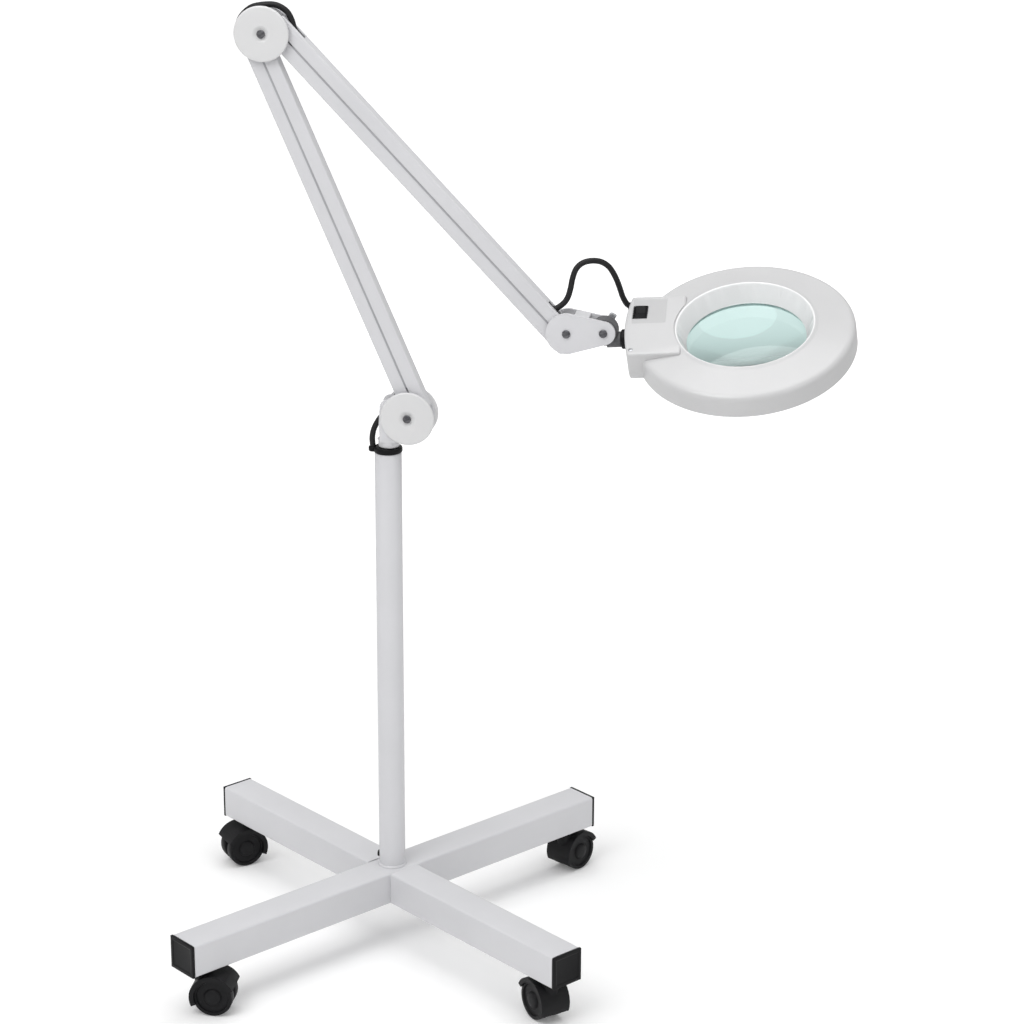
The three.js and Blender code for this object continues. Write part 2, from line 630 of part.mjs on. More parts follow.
// Plan of the neck box: straight sides, a bulged end, open length under the ring.
function neckPlan(inset, reach) {
  const r = NECK_BULGE_R - inset;
  const near = NECK_NEAR - inset;
  const far = NECK_FAR - inset;
  const from = Math.PI - Math.asin((far - NECK_BULGE_Y) / r);
  const to = Math.PI + Math.asin((near + NECK_BULGE_Y) / r);
  const shape = new THREE.Shape();
  shape.moveTo(reach, -near);
  shape.lineTo(reach, far);
  shape.absarc(NECK_END + NECK_BULGE_R, NECK_BULGE_Y, r, from, to);
  shape.closePath();
  return shape;
}

function headShell() {
  const under = -RING_HIGH;
  const seatDown = -BEZEL_DOWN - BEZEL_THICK;
  const bore = LENS_R + GAP;
  const ring = turned([
    [bore, under], [RIM_R + 1.3, under], [RIM_R + 0.8, -6], [RIM_R, -3], [RIM_R - 2, -0.9], [RIM_R - 5, 0],
    [LIP_R + 3, LIP_UP - 2], [LIP_R + 1.6, LIP_UP - 0.4], [LIP_R, LIP_UP], [LIP_R - 1.6, LIP_UP - 0.7],
    [BEZEL_R, -BEZEL_DOWN], [BEZEL_R, seatDown], [bore, seatDown],
  ], RING_SIDES);
  const ringRoom = turned([
    [bore + RING_WALL, under - 1], [RIM_R - 0.9, under - 1], [RIM_R - 1.4, -7], [RIM_R - 3.4, -4.2],
    [RIM_R - 6, -2.6], [LIP_R + 4, LIP_UP - 4.4], [LIP_R + 1.4, LIP_UP - 4.2], [bore + RING_WALL, -9.4],
  ], RING_SIDES);
  const neckBevel = 2.5;
  const neck = new THREE.ExtrudeGeometry(neckPlan(neckBevel, NECK_REACH), {
    depth: NECK_UP - under - 2 * neckBevel, bevelThickness: neckBevel, bevelSize: neckBevel,
    bevelSegments: 3, curveSegments: 8,
  }).translate(0, 0, under + neckBevel);
  const neckRoom = new THREE.ExtrudeGeometry(neckPlan(RING_WALL + 0.6, NECK_REACH), {
    depth: NECK_UP - RING_WALL - under + 1, bevelEnabled: false, curveSegments: 8,
  }).translate(0, 0, under - 1);
  const keep = turned([
    [0, -50], [bore + RING_WALL, -50], [bore + RING_WALL, -9.4], [LIP_R + 1.4, LIP_UP - 4.2],
    [LIP_R + 3, LIP_UP - 2.4], [LIP_R + 3, 50], [0, 50],
  ], RING_SIDES);
  const sight = turned([
    [0, under - 1], [bore, under - 1], [bore, seatDown], [BEZEL_R, seatDown], [BEZEL_R, -BEZEL_DOWN],
    [LIP_R - 1.6, LIP_UP - 0.7], [LIP_R - 0.4, LIP_UP], [LIP_R, 50], [0, 50],
  ], RING_SIDES);
  const [sx, sy] = SWITCH_AT;
  const [sw, sl] = SWITCH_SIZE.map((size) => size / 2 + GAP);
  const body = cut(
    join(ring, neck),
    ringRoom,
    surface(cut(solid(neckRoom), keep)),
    sight,
    block(sx - sw, sx + sw, sy - sl, sy + sl, 0, 20),
    alongX(rod(SHAFT_R + GAP, NECK_END - 5, NECK_END + 10, 16)).translate(0, 0, -RIM_UP),
    alongX(rod(CABLE_R + 2 * GAP, NECK_END - 5, NECK_END + 16, 12)).translate(0, ...CABLE_PORT),
  );
  add('head_shell', body, whitePlastic, head);
}
headShell();

// Cover under the ring and the neck: the frosted window that the light comes through.
function lightWindow() {
  const z0 = -RING_HIGH + 0.2;
  const thick = 2;
  const inner = LENS_R + RING_WALL + 2 * GAP;
  const outer = RIM_R - 1.4;
  const ring = turned([[inner, z0], [outer, z0], [outer, z0 + thick], [inner, z0 + thick]], RING_SIDES);
  const neck = new THREE.ExtrudeGeometry(neckPlan(RING_WALL + 1, NECK_REACH - 30), {
    depth: thick, bevelEnabled: false, curveSegments: 8,
  }).translate(0, 0, z0);
  add('light_window', cut(join(ring, neck), rod(inner, z0 - 1, z0 + thick + 1, RING_SIDES)), diffuser, head);
}
lightWindow();

function lens() {
  const curve = (LENS_R ** 2 + LENS_SAG ** 2) / (2 * LENS_SAG);
  const rise = (r) => Math.sqrt(curve ** 2 - r ** 2) - curve + LENS_SAG;
  const edgeTop = -BEZEL_DOWN - BEZEL_THICK - GAP - rise(BEZEL_R);
  const steps = 4;
  const cap = Array.from({ length: steps + 1 }, (_, i) => [(LENS_R * i) / steps, rise((LENS_R * i) / steps)]);
  const top = cap.map(([r, h]) => [r, edgeTop + h]);
  const bottom = cap.map(([r, h]) => [r, edgeTop - LENS_EDGE - h]).reverse();
  add('lens', turned([...top, ...bottom], RING_SIDES), glass, head);
  const ringTop = edgeTop - LENS_EDGE - GAP;
  add('lens_ring', turned([
    [LENS_R - 2, ringTop - 2.6], [LENS_R, ringTop - 2.6], [LENS_R, ringTop], [LENS_R - 0.8, ringTop],
  ], RING_SIDES), whitePlastic, head);
}
lens();

// Round lamp tube inside the ring.
const tubeRound = Array.from({ length: 8 }, (_, i) => {
  const [r, h] = polar(-45 * i, LAMP_TUBE_R);
  return [LAMP_R + r, h - 12.5];
});
add('lamp_tube', turned(tubeRound, 32), diffuser, head);
add('driver_box', block(-111, -98, -38, -9, -19, -2), steel, head);

// Rocker: a shallow vee of two faces on a body that tips in the neck's cutout.
function rocker() {
  const [wide, long] = SWITCH_SIZE;
  const side = new THREE.Shape();
  const half = long / 2 - 0.6;
  side.moveTo(-half, -6);
  side.lineTo(half, -6);
  side.lineTo(half, 4);
  side.lineTo(0, 1.6);
  side.lineTo(-half, 4);
  side.closePath();
  const body = new THREE.ExtrudeGeometry(side, { depth: wide, bevelEnabled: false })
    .rotateX(Math.PI / 2)
    .rotateZ(Math.PI / 2)
    .translate(-wide / 2, 0, 0);
  const mesh = add('rocker_switch', body, black, head);
  mesh.position.set(...SWITCH_AT, NECK_UP - 2.2);
  mesh.rotation.x = rad(SWITCH_TIP);
}
rocker();

// ---- cables, whole from the bushing to the neck ----
const alongArm = (from, lean, t, lift) => {
  const [x, z] = offset(offset(from, polar(lean, t)), polar(lean + 90, lift));
  return [x, 0, z];
};
const nearElbow = LOWER_LONG - 62;
add('cable_low', tube([
  [leadX, 0, poleTop + 2 + GAP], [leadX - 0.6, 0, collarTop + 2], [leadX - 0.9, 0, collarTop + 9],
  [-14.6, 0, 580], [-9.5, 0, 590], [-2.5, 0, 598.5], [5.5, 0, 606], [9.6, 0, 614.5],
  alongArm(lowerStart[1], LOWER_LEAN, 22, 2.6), alongArm(lowerStart[1], LOWER_LEAN, 45, 0.4),
  alongArm(lowerStart[1], LOWER_LEAN, 110, 0), alongArm(lowerStart[1], LOWER_LEAN, 230, 0),
  alongArm(lowerStart[1], LOWER_LEAN, nearElbow, 0),
], 30), rubber);

const bend = (angle, r) => {
  const [x, z] = offset(screwElbow, polar(angle, r));
  return [x, 0, z];
};
add('cable_elbow', tube([
  alongArm(lowerStart[1], LOWER_LEAN, nearElbow + GAP, 0),
  alongArm(lowerStart[1], LOWER_LEAN, nearElbow + 30, 0.5),
  alongArm(lowerStart[1], LOWER_LEAN, nearElbow + 46, 3.2),
  alongArm(lowerStart[1], LOWER_LEAN, nearElbow + 59, 6.2), bend(190, 26.4), bend(172, 26.9), bend(148, 26.9),
  bend(118, 26.9), bend(90, 27), bend(64, 30), bend(42, 31.6), bend(24, 31.2),
  alongArm(upperStart[0], UPPER_LEAN, 14, 4.2), alongArm(upperStart[0], UPPER_LEAN, 30, 0.8),
  alongArm(upperStart[0], UPPER_LEAN, 60, 0),
], 22), rubber);

lamp.updateMatrixWorld(true);
const port = head.localToWorld(new THREE.Vector3(NECK_END + 7, ...CABLE_PORT));
const portOut = head.localToWorld(new THREE.Vector3(NECK_END - 7, ...CABLE_PORT));
add('cable_head', tube([
  alongArm(upperStart[0], UPPER_LEAN, 60 + GAP, 0), alongArm(upperStart[0], UPPER_LEAN, 200, 0),
  alongArm(upperStart[0], UPPER_LEAN, 330, 0), alongArm(upperStart[0], UPPER_LEAN, UPPER_LONG - 34, 1),
  [171, 0, 716], [180, 1, 721], [185, 2, 727.5], [188, 4, 738], [189.5, 6, 747], [193, 8, 757],
  [199, 10, 762.5], [208, 13, 764.5], [217, 16, 763], [224, 19, 758], [229, 22, 750], [233, 25.5, 740],
  [236, 30.5, 730.5], portOut.toArray(), port.toArray(),
], 56), rubber);

// ---- origin under the middle of the outline ----
const outline = new THREE.Box3().setFromObject(lamp, true);
lamp.position.x = -(outline.min.x + outline.max.x) / 2;
lamp.position.y = -(outline.min.y + outline.max.y) / 2;
export default lamp;
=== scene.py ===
import bpy
import math
from mathutils import Matrix, Vector


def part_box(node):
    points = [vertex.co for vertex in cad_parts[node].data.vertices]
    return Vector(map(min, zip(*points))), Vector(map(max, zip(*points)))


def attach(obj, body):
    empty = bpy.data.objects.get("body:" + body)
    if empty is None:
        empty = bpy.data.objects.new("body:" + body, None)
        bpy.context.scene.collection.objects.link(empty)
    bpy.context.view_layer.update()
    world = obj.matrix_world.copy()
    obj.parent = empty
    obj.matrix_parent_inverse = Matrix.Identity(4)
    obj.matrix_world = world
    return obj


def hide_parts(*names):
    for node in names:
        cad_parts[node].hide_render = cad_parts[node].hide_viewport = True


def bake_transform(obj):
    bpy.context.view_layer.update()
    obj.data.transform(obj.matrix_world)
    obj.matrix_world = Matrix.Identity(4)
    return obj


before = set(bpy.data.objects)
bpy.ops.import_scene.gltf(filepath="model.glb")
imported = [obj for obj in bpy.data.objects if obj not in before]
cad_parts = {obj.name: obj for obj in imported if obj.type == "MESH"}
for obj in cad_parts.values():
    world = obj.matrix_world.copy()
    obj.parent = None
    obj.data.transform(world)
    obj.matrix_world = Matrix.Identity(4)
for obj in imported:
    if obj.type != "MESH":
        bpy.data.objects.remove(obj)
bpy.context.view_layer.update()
mm = 0.001
pole_low, pole_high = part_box("pole")
foot = Vector(((pole_low.x + pole_high.x) / 2, (pole_low.y + pole_high.y) / 2, 0))

# ---- Camera: stands a little above the lamp's head and to the right of the pole, with a long lens.
# The lamp fills the height of the frame, as in a shop's product view.
camera_data = bpy.data.cameras.new("camera")
camera_data.lens = 110.2
camera_data.sensor_width = 36
camera_data.dof.use_dof = False
camera_data.clip_end = 50
camera = bpy.data.objects.new("camera", camera_data)
bpy.context.scene.collection.objects.link(camera)
turn = Matrix.Rotation(math.radians(8.614), 4, "Z")
lean = Matrix.Rotation(math.radians(90 - 19.362), 4, "X")
level = Matrix.Rotation(math.radians(0.189), 4, "Z")
camera.matrix_world = Matrix.Translation(foot + Vector((0.5874, -3.0221, 1.5709))) @ turn @ lean @ level
bpy.context.scene.camera = camera
bpy.context.scene.view_settings.view_transform = "Standard"

# ---- Studio: a white sweep of floor, an even white room, and a large soft light high on the left.
# The light from above makes the tops of the legs paler than their sides.
bpy.ops.object.select_all(action="DESELECT")
bpy.ops.mesh.primitive_plane_add(size=40, location=(0, 0, -0.0005))
floor = bpy.context.active_object
floor.name = "studio_floor"
paper = bpy.data.materials.new("studio_paper")
paper.use_nodes = True
sheet = paper.node_tree.nodes["Principled BSDF"]
sheet.inputs["Base Color"].default_value = (0.93, 0.93, 0.93, 1)
sheet.inputs["Roughness"].default_value = 0.9
sheet.inputs["Emission Color"].default_value = (1, 1, 1, 1)
glow = paper.node_tree.nodes.new("ShaderNodeMath")
glow.operation = "MULTIPLY"
straight = paper.node_tree.nodes.new("ShaderNodeLightPath")
spot = paper.node_tree.nodes.new("ShaderNodeTexCoord")
away = paper.node_tree.nodes.new("ShaderNodeVectorMath")
away.operation = "LENGTH"
fade = paper.node_tree.nodes.new("ShaderNodeMapRange")
for name, value in (("From Min", 0.5), ("From Max", 2.2), ("To Min", 0.1), ("To Max", 0.55)):
    fade.inputs[name].default_value = value
paper.node_tree.links.new(spot.outputs["Object"], away.inputs[0])
paper.node_tree.links.new(away.outputs["Value"], fade.inputs["Value"])
paper.node_tree.links.new(fade.outputs["Result"], glow.inputs[1])
paper.node_tree.links.new(straight.outputs["Is Camera Ray"], glow.inputs[0])
paper.node_tree.links.new(glow.outputs[0], sheet.inputs["Emission Strength"])
floor.data.materials.append(paper)

room = bpy.data.worlds.new("studio_room")
bpy.context.scene.world = room
room.use_nodes = True
room_nodes = room.node_tree.nodes
room_light = room_nodes["Background"]
room_light.inputs["Color"].default_value = (1, 1, 1, 1)
room_light.inputs["Strength"].default_value = 0.55
room_seen = room_nodes.new("ShaderNodeBackground")
room_seen.inputs["Color"].default_value = (1, 1, 1, 1)
room_seen.inputs["Strength"].default_value = 1.05
seen = room_nodes.new("ShaderNodeLightPath")
swap = room_nodes.new("ShaderNodeMixShader")
link = room.node_tree.links.new
link(seen.outputs["Is Camera Ray"], swap.inputs[0])
link(room_light.outputs[0], swap.inputs[1])
link(room_seen.outputs[0], swap.inputs[2])
link(swap.outputs[0], room_nodes["World Output"].inputs["Surface"])

for light_name, place, size, power in (
    ("key_light", (-1.1, -2.0, 3.0), 2.2, 42),
    ("top_light", (0.1, 0.0, 3.6), 2.8, 40),
    ("fill_light", (2.4, -2.0, 1.8), 2.2, 8),
):
    data = bpy.data.lights.new(light_name, "AREA")
    data.shape = "DISK"
    data.size = size
    data.energy = power
    lamp = bpy.data.objects.new(light_name, data)
    bpy.context.scene.collection.objects.link(lamp)
    aim = Vector((0, 0, 0.5)) - Vector(place)
    lamp.matrix_world = Matrix.Translation(place) @ aim.to_track_quat("-Z", "Y").to_matrix().to_4x4()


# ---- Cable: one black rubber-sheathed lead, 6 mm thick, from the pole's bushing to the neck of the head.
# It is clipped inside the arm's channels and free at the two joints and in a loop before the head.
# The lengths meet end to end.
CABLE_THICK = 6 * mm


def mottle_group():
    """Shader group that a material's finish comes from: cloudy colour, uneven gloss, and a fine relief."""
    group = bpy.data.node_groups.new("mottle", "ShaderNodeTree")
    for name, kind, value in (
        ("Light", "NodeSocketColor", (0.8, 0.8, 0.8, 1)),
        ("Dark", "NodeSocketColor", (0.7, 0.7, 0.7, 1)),
        ("Clouds", "NodeSocketFloat", 20.0),
        ("Grain", "NodeSocketFloat", 900.0),
        ("Gloss low", "NodeSocketFloat", 0.3),
        ("Gloss high", "NodeSocketFloat", 0.5),
    ):
        group.interface.new_socket(name, in_out="INPUT", socket_type=kind).default_value = value
    group.interface.new_socket("Color", in_out="OUTPUT", socket_type="NodeSocketColor")
    group.interface.new_socket("Roughness", in_out="OUTPUT", socket_type="NodeSocketFloat")
    group.interface.new_socket("Height", in_out="OUTPUT", socket_type="NodeSocketFloat")
    node, wire = group.nodes.new, group.links.new
    into, out = node("NodeGroupInput"), node("NodeGroupOutput")
    spot = node("ShaderNodeTexCoord")
    clouds, grain = node("ShaderNodeTexNoise"), node("ShaderNodeTexNoise")
    clouds.inputs["Detail"].default_value = 5
    clouds.inputs["Roughness"].default_value = 0.6
    grain.inputs["Detail"].default_value = 2
    wire(spot.outputs["Object"], clouds.inputs["Vector"])
    wire(spot.outputs["Object"], grain.inputs["Vector"])
    wire(into.outputs["Clouds"], clouds.inputs["Scale"])
    wire(into.outputs["Grain"], grain.inputs["Scale"])
    blend_colours = node("ShaderNodeMix")
    blend_colours.data_type = "RGBA"
    spread = node("ShaderNodeMapRange")
    spread.inputs["From Min"].default_value = 0.35
    spread.inputs["From Max"].default_value = 0.65
    wire(clouds.outputs["Fac"], spread.inputs["Value"])
    wire(spread.outputs["Result"], blend_colours.inputs["Factor"])
    wire(into.outputs["Dark"], blend_colours.inputs["A"])
    wire(into.outputs["Light"], blend_colours.inputs["B"])
    wire(blend_colours.outputs["Result"], out.inputs["Color"])
    gloss = node("ShaderNodeMapRange")
    gloss.inputs["From Min"].default_value = 0.3
    gloss.inputs["From Max"].default_value = 0.7
    wire(grain.outputs["Fac"], gloss.inputs["Value"])
    wire(into.outputs["Gloss low"], gloss.inputs["To Min"])
    wire(into.outputs["Gloss high"], gloss.inputs["To Max"])
    wire(gloss.outputs["Result"], out.inputs["Roughness"])
    wire(grain.outputs["Fac"], out.inputs["Height"])
    return group


mottle = mottle_group()


def finish_of(name, light, dark, clouds, grain, gloss, relief, metal=0.0, coat=0.0, shine=0.5):
    """Material of one finish: cloudy colour from light to dark, gloss between two values, relief in metres."""
    material = bpy.data.materials.new(name)
    material.use_nodes = True
    nodes, wire = material.node_tree.nodes, material.node_tree.links.new
    shader = nodes["Principled BSDF"]
    group = nodes.new("ShaderNodeGroup")
    group.node_tree = mottle
    group.inputs["Light"].default_value = (*light, 1)
    group.inputs["Dark"].default_value = (*dark, 1)
    group.inputs["Clouds"].default_value = clouds
    group.inputs["Grain"].default_value = grain
    group.inputs["Gloss low"].default_value = gloss[0]
    group.inputs["Gloss high"].default_value = gloss[1]
    bump = nodes.new("ShaderNodeBump")
    bump.inputs["Strength"].default_value = 1
    bump.inputs["Distance"].default_value = relief
    wire(group.outputs["Color"], shader.inputs["Base Color"])
    wire(group.outputs["Roughness"], shader.inputs["Roughness"])
    wire(group.outputs["Height"], bump.inputs["Height"])
    wire(bump.outputs["Normal"], shader.inputs["Normal"])
    shader.inputs["Metallic"].default_value = metal
    shader.inputs["Coat Weight"].default_value = coat
    shader.inputs["Specular IOR Level"].default_value = shine
    return material


cable_rubber = finish_of(
    "cable_rubber", (0.014, 0.014, 0.015), (0.008, 0.008, 0.009), 60, 1400, (0.42, 0.6), 0.00004, shine=0.3
)


def only(piece):
    """The piece alone selected and active."""
    bpy.ops.object.select_all(action="DESELECT")
    piece.select_set(True)
    bpy.context.view_layer.objects.active = piece


def smooth_route(points, per_span):
    """Centripetal curve through the points, as finer points."""
    ends = [points[0] * 2 - points[1], *points, points[-1] * 2 - points[-2]]
    fine = []
    for p0, p1, p2, p3 in zip(ends, ends[1:], ends[2:], ends[3:]):
        t1 = math.sqrt((p1 - p0).length)
        t2 = t1 + math.sqrt((p2 - p1).length)
        t3 = t2 + math.sqrt((p3 - p2).length)
        for step in range(per_span):
            t = t1 + (t2 - t1) * step / per_span
            a1 = p0 * ((t1 - t) / t1) + p1 * (t / t1)
            a2 = p1 * ((t2 - t) / (t2 - t1)) + p2 * ((t - t1) / (t2 - t1))
            a3 = p2 * ((t3 - t) / (t3 - t2)) + p3 * ((t - t2) / (t3 - t2))
            b1 = a1 * ((t2 - t) / t2) + a2 * (t / t2)
            b2 = a2 * ((t3 - t) / (t3 - t1)) + a3 * ((t - t1) / (t3 - t1))
            fine.append(b1 * ((t2 - t) / (t2 - t1)) + b2 * ((t - t1) / (t2 - t1)))
    return [*fine, points[-1]]


def cable(name, route, node):
    """One length of cable along a route; hides the part it stands for."""
    line = bpy.data.curves.new(name, "CURVE")
    line.dimensions = "3D"
    line.bevel_depth = CABLE_THICK / 2
    line.bevel_resolution = 5
    line.use_fill_caps = True
    thread = line.splines.new("POLY")
    thread.points.add(len(route) - 1)
    for point, place in zip(thread.points, route):
        point.co = (*place, 1)
    piece = bpy.data.objects.new(name, line)
    bpy.context.scene.collection.objects.link(piece)
    only(piece)
    bpy.ops.object.convert(target="MESH")
    piece = bpy.context.active_object
    bpy.ops.object.shade_smooth_by_angle(angle=math.radians(50))
    piece.data.materials.clear()
    piece.data.materials.append(cable_rubber)
    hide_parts(node)
    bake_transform(piece)
    return piece


def points(*rows):
    """Route points, in millimetres from the pole's foot."""
    return [foot + Vector(row) * mm for row in rows]


low_route = smooth_route(points(
    (-15.6, 0, 558), (-16.2, 0, 563.7), (-16.5, 0, 570.7), (-14.6, 0, 580), (-9.5, 0, 590), (-2.5, 0, 598.5),
    (5.5, 0, 606), (9.6, 0, 614.5), (9.4, 0, 628.7), (2.4, 0, 650.7), (-22.7, 0, 710.6), (-69.8, 0, 821),
    (-110.6, 0, 916.7),
), 8)
cable("cable_low", low_route, "cable_low")

elbow_route = smooth_route(points(
    (-110.7, 0, 916.9), (-122.9, 0, 944.1), (-131.6, 0, 957.7), (-139.5, 0, 968.5), (-147.2, 0, 983.7),
    (-147.9, 0, 992), (-144, 0, 1002.5), (-133.8, 0, 1012), (-121.2, 0, 1015.2), (-108.1, 0, 1015.2),
    (-97.7, 0, 1009.4), (-92.7, 0, 1000.9), (-90, 0, 991.6), (-81.5, 0, 977.7), (-61.5, 0, 955.3),
), 8)
crown = 64
rise = elbow_route[:crown + 1]
fall = elbow_route[crown:]
cable("cable_elbow_rise", rise, "cable_elbow")
cable("cable_elbow_fall", fall, "cable_elbow")

head_route = smooth_route(points(
    (-61.2, 0, 955.1), (34.7, 0, 853.6), (124.1, 0, 759.1), (163.3, 0, 719.1), (171, 0, 716), (180, 1, 721),
    (185, 2, 727.5), (188, 4, 738), (189.5, 6, 747), (193, 8, 757), (199, 10, 762.5), (208, 13, 764.5),
    (217, 16, 763), (224, 19, 758), (229, 22, 750), (233, 25.5, 740), (235.4, 29.5, 731), (238.2, 34, 721),
    (243.4, 36.9, 713), (256, 37.1, 712.2),
), 8)
first, second = 84, 116
up, over, down = head_route[:first + 1], head_route[first:second + 1], head_route[second:]
cable("cable_loop_up", up, "cable_head")
cable("cable_loop_over", over, "cable_head")
cable("cable_loop_down", down, "cable_head")

# ---- Base cross: one long square steel tube with two short ones butted to its sides, white powder coat.
# The tubes are 38 by 36 mm with 1.5 mm walls; each weld is ground nearly flush.
LEG_REACH, LEG_WIDE, LEG_HIGH, FLOOR_TO_LEG = 281, 38, 36, 51

powder_coat = finish_of(
    "powder_coat", (0.67, 0.67, 0.69), (0.64, 0.64, 0.66), 9, 1100, (0.3, 0.42), 0.000025, coat=0.1
)


def place(x, y, z, turn_z=0.0):
    """Matrix for a piece that stands at a point in millimetres from the pole's foot, turned about the upright."""
    return Matrix.Translation(foot + Vector((x, y, z)) * mm) @ Matrix.Rotation(math.radians(turn_z), 4, "Z")


def block(name, low, high):
    """Plain block between two corners, in millimetres."""
    bpy.ops.object.select_all(action="DESELECT")
    middle = [(a + b) / 2 * mm for a, b in zip(low, high)]
    bpy.ops.mesh.primitive_cube_add(size=1, location=middle)
    piece = bpy.context.active_object
    piece.name = name
    piece.scale = [(b - a) * mm for a, b in zip(low, high)]
    bpy.ops.object.transform_apply(location=True, rotation=True, scale=True)
    return piece


def eased(piece, width, segments=3, angle=35):
    """Rounds the piece's edges, width in millimetres."""
    only(piece)
    ease = piece.modifiers.new("ease", "BEVEL")
    ease.width = width * mm
    ease.segments = segments
    ease.limit_method = "ANGLE"
    ease.angle_limit = math.radians(angle)
    ease.harden_normals = False
    bpy.ops.object.modifier_apply(modifier="ease")
    return piece


def merged(piece, tool, how):
    """Joins a tool to the piece (UNION) or cuts it out (DIFFERENCE), and removes the tool."""
    only(piece)
    work = piece.modifiers.new("work", "BOOLEAN")
    work.operation = how
    work.solver = "EXACT"
    work.object = tool
    bpy.ops.object.modifier_apply(modifier="work")
    bpy.data.objects.remove(tool)
    return piece


def fitted(piece, matrix, body, nodes, material, angle=35):
    """Puts a finished piece in its place and fixes it to a body."""
    only(piece)
    piece.matrix_world = matrix
    bpy.ops.object.transform_apply(location=True, rotation=True, scale=True)
    bpy.ops.object.mode_set(mode="EDIT")
    bpy.ops.mesh.select_all(action="SELECT")
    bpy.ops.mesh.normals_make_consistent(inside=False)
    bpy.ops.object.mode_set(mode="OBJECT")
    bpy.ops.object.shade_smooth_by_angle(angle=math.radians(angle))
    piece.data.materials.clear()
    piece.data.materials.append(material)
    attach(piece, body)
    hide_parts(*nodes)
    return piece


def pick_faces(piece, wanted):
    """Leaves the piece in edit mode with only the wanted faces picked."""
    only(piece)
    bpy.ops.object.mode_set(mode="EDIT")
    bpy.ops.mesh.select_mode(type="FACE")
    bpy.ops.mesh.select_all(action="DESELECT")
    bpy.ops.object.mode_set(mode="OBJECT")
    for face in piece.data.polygons:
        face.select = wanted(face)
    bpy.ops.object.mode_set(mode="EDIT")


def pick_points(piece, wanted):
    """Leaves the piece in edit mode with only the wanted corners picked."""
    only(piece)
    bpy.ops.object.mode_set(mode="EDIT")
    bpy.ops.mesh.select_mode(type="VERT")
    bpy.ops.mesh.select_all(action="DESELECT")
    bpy.ops.object.mode_set(mode="OBJECT")
    for vertex in piece.data.vertices:
        vertex.select = wanted(vertex.co)
    bpy.ops.object.mode_set(mode="EDIT")


def tube_beam(name, start, end, turn_z):
    """Square tube along one leg direction."""
    half = LEG_WIDE / 2
    beam = block(name, (start, -half, FLOOR_TO_LEG), (end, half, FLOOR_TO_LEG + LEG_HIGH))
    pick_faces(beam, lambda face: abs(face.normal.x) > 0.9)
    bpy.ops.mesh.delete(type="ONLY_FACE")
    bpy.ops.object.mode_set(mode="OBJECT")
    eased(beam, 2.5, 4)
    wall = beam.modifiers.new("wall", "SOLIDIFY")
    wall.thickness = 1.5 * mm
    wall.offset = -1
    bpy.ops.object.modifier_apply(modifier="wall")
    return fitted(beam, place(0, 0, 0, turn_z), "base", [name], powder_coat)


tube_beam("beam_long", -LEG_REACH + 3.3, LEG_REACH - 3.3, 50.2)
tube_beam("beam_short_front", LEG_WIDE / 2 + 0.3, LEG_REACH - 3.3, 320.2)
tube_beam("beam_short_rear", LEG_WIDE / 2 + 0.3, LEG_REACH - 3.3, 140.2)

# ---- End caps: four black moulded plugs, pushed into the ends of the tubes.
# Each has a plate as large as the tube's end, with a slightly sunk face, and a hollow plug with 2 mm walls.
black_plastic = finish_of(
    "black_plastic", (0.008, 0.008, 0.009), (0.005, 0.005, 0.006), 40, 2200, (0.35, 0.5), 0.00003, shine=0.15
)
for number, angle in enumerate((50.2, 140.2, 230.2, 320.2), 1):
    half = LEG_WIDE / 2
    cap = block("end_cap", (LEG_REACH - 3, -half, FLOOR_TO_LEG), (LEG_REACH, half, FLOOR_TO_LEG + LEG_HIGH))
    pick_faces(cap, lambda face: face.normal.x > 0.9)
    bpy.ops.mesh.inset(thickness=3.5 * mm, depth=0)
    bpy.ops.mesh.inset(thickness=0.8 * mm, depth=-0.6 * mm)
    bpy.ops.object.mode_set(mode="OBJECT")
    eased(cap, 1.0, 3)
    inner = half - 1.9
    plug_low, plug_high = FLOOR_TO_LEG + 1.9, FLOOR_TO_LEG + LEG_HIGH - 1.9
    plug = block("plug", (LEG_REACH - 17, -inner, plug_low), (LEG_REACH - 2.5, inner, plug_high))
    hollow_low, hollow_high = FLOOR_TO_LEG + 3.9, FLOOR_TO_LEG + LEG_HIGH - 3.9
    hollow = block("hollow", (LEG_REACH - 20, -inner + 2, hollow_low), (LEG_REACH - 3, inner - 2, hollow_high))
    merged(plug, hollow, "DIFFERENCE")
    merged(cap, plug, "UNION")
    fitted(cap, place(0, 0, 0, angle), "base", [f"end_cap_{number}"], black_plastic)

# ---- Casters: black nylon, each a hood with a web between two wheels, on a zinc stem pushed into the tube.
# The hood is one moulding, 34 mm wide, wrapped round the back and top of the 42 mm wheels.
WHEEL_R, AXLE_Z, TRAIL = 21, 21, 12
nylon = finish_of(
    "nylon", (0.010, 0.010, 0.011), (0.006, 0.006, 0.007), 50, 1500, (0.4, 0.55), 0.00004, shine=0.2
)
zinc = finish_of("zinc", (0.62, 0.63, 0.65), (0.5, 0.51, 0.53), 70, 2600, (0.24, 0.4), 0.00001, metal=1.0)


LAID_ALONG = {
    "z": Matrix(), "y": Matrix.Rotation(-math.pi / 2, 4, "X"), "x": Matrix.Rotation(math.pi / 2, 4, "Y"),
}


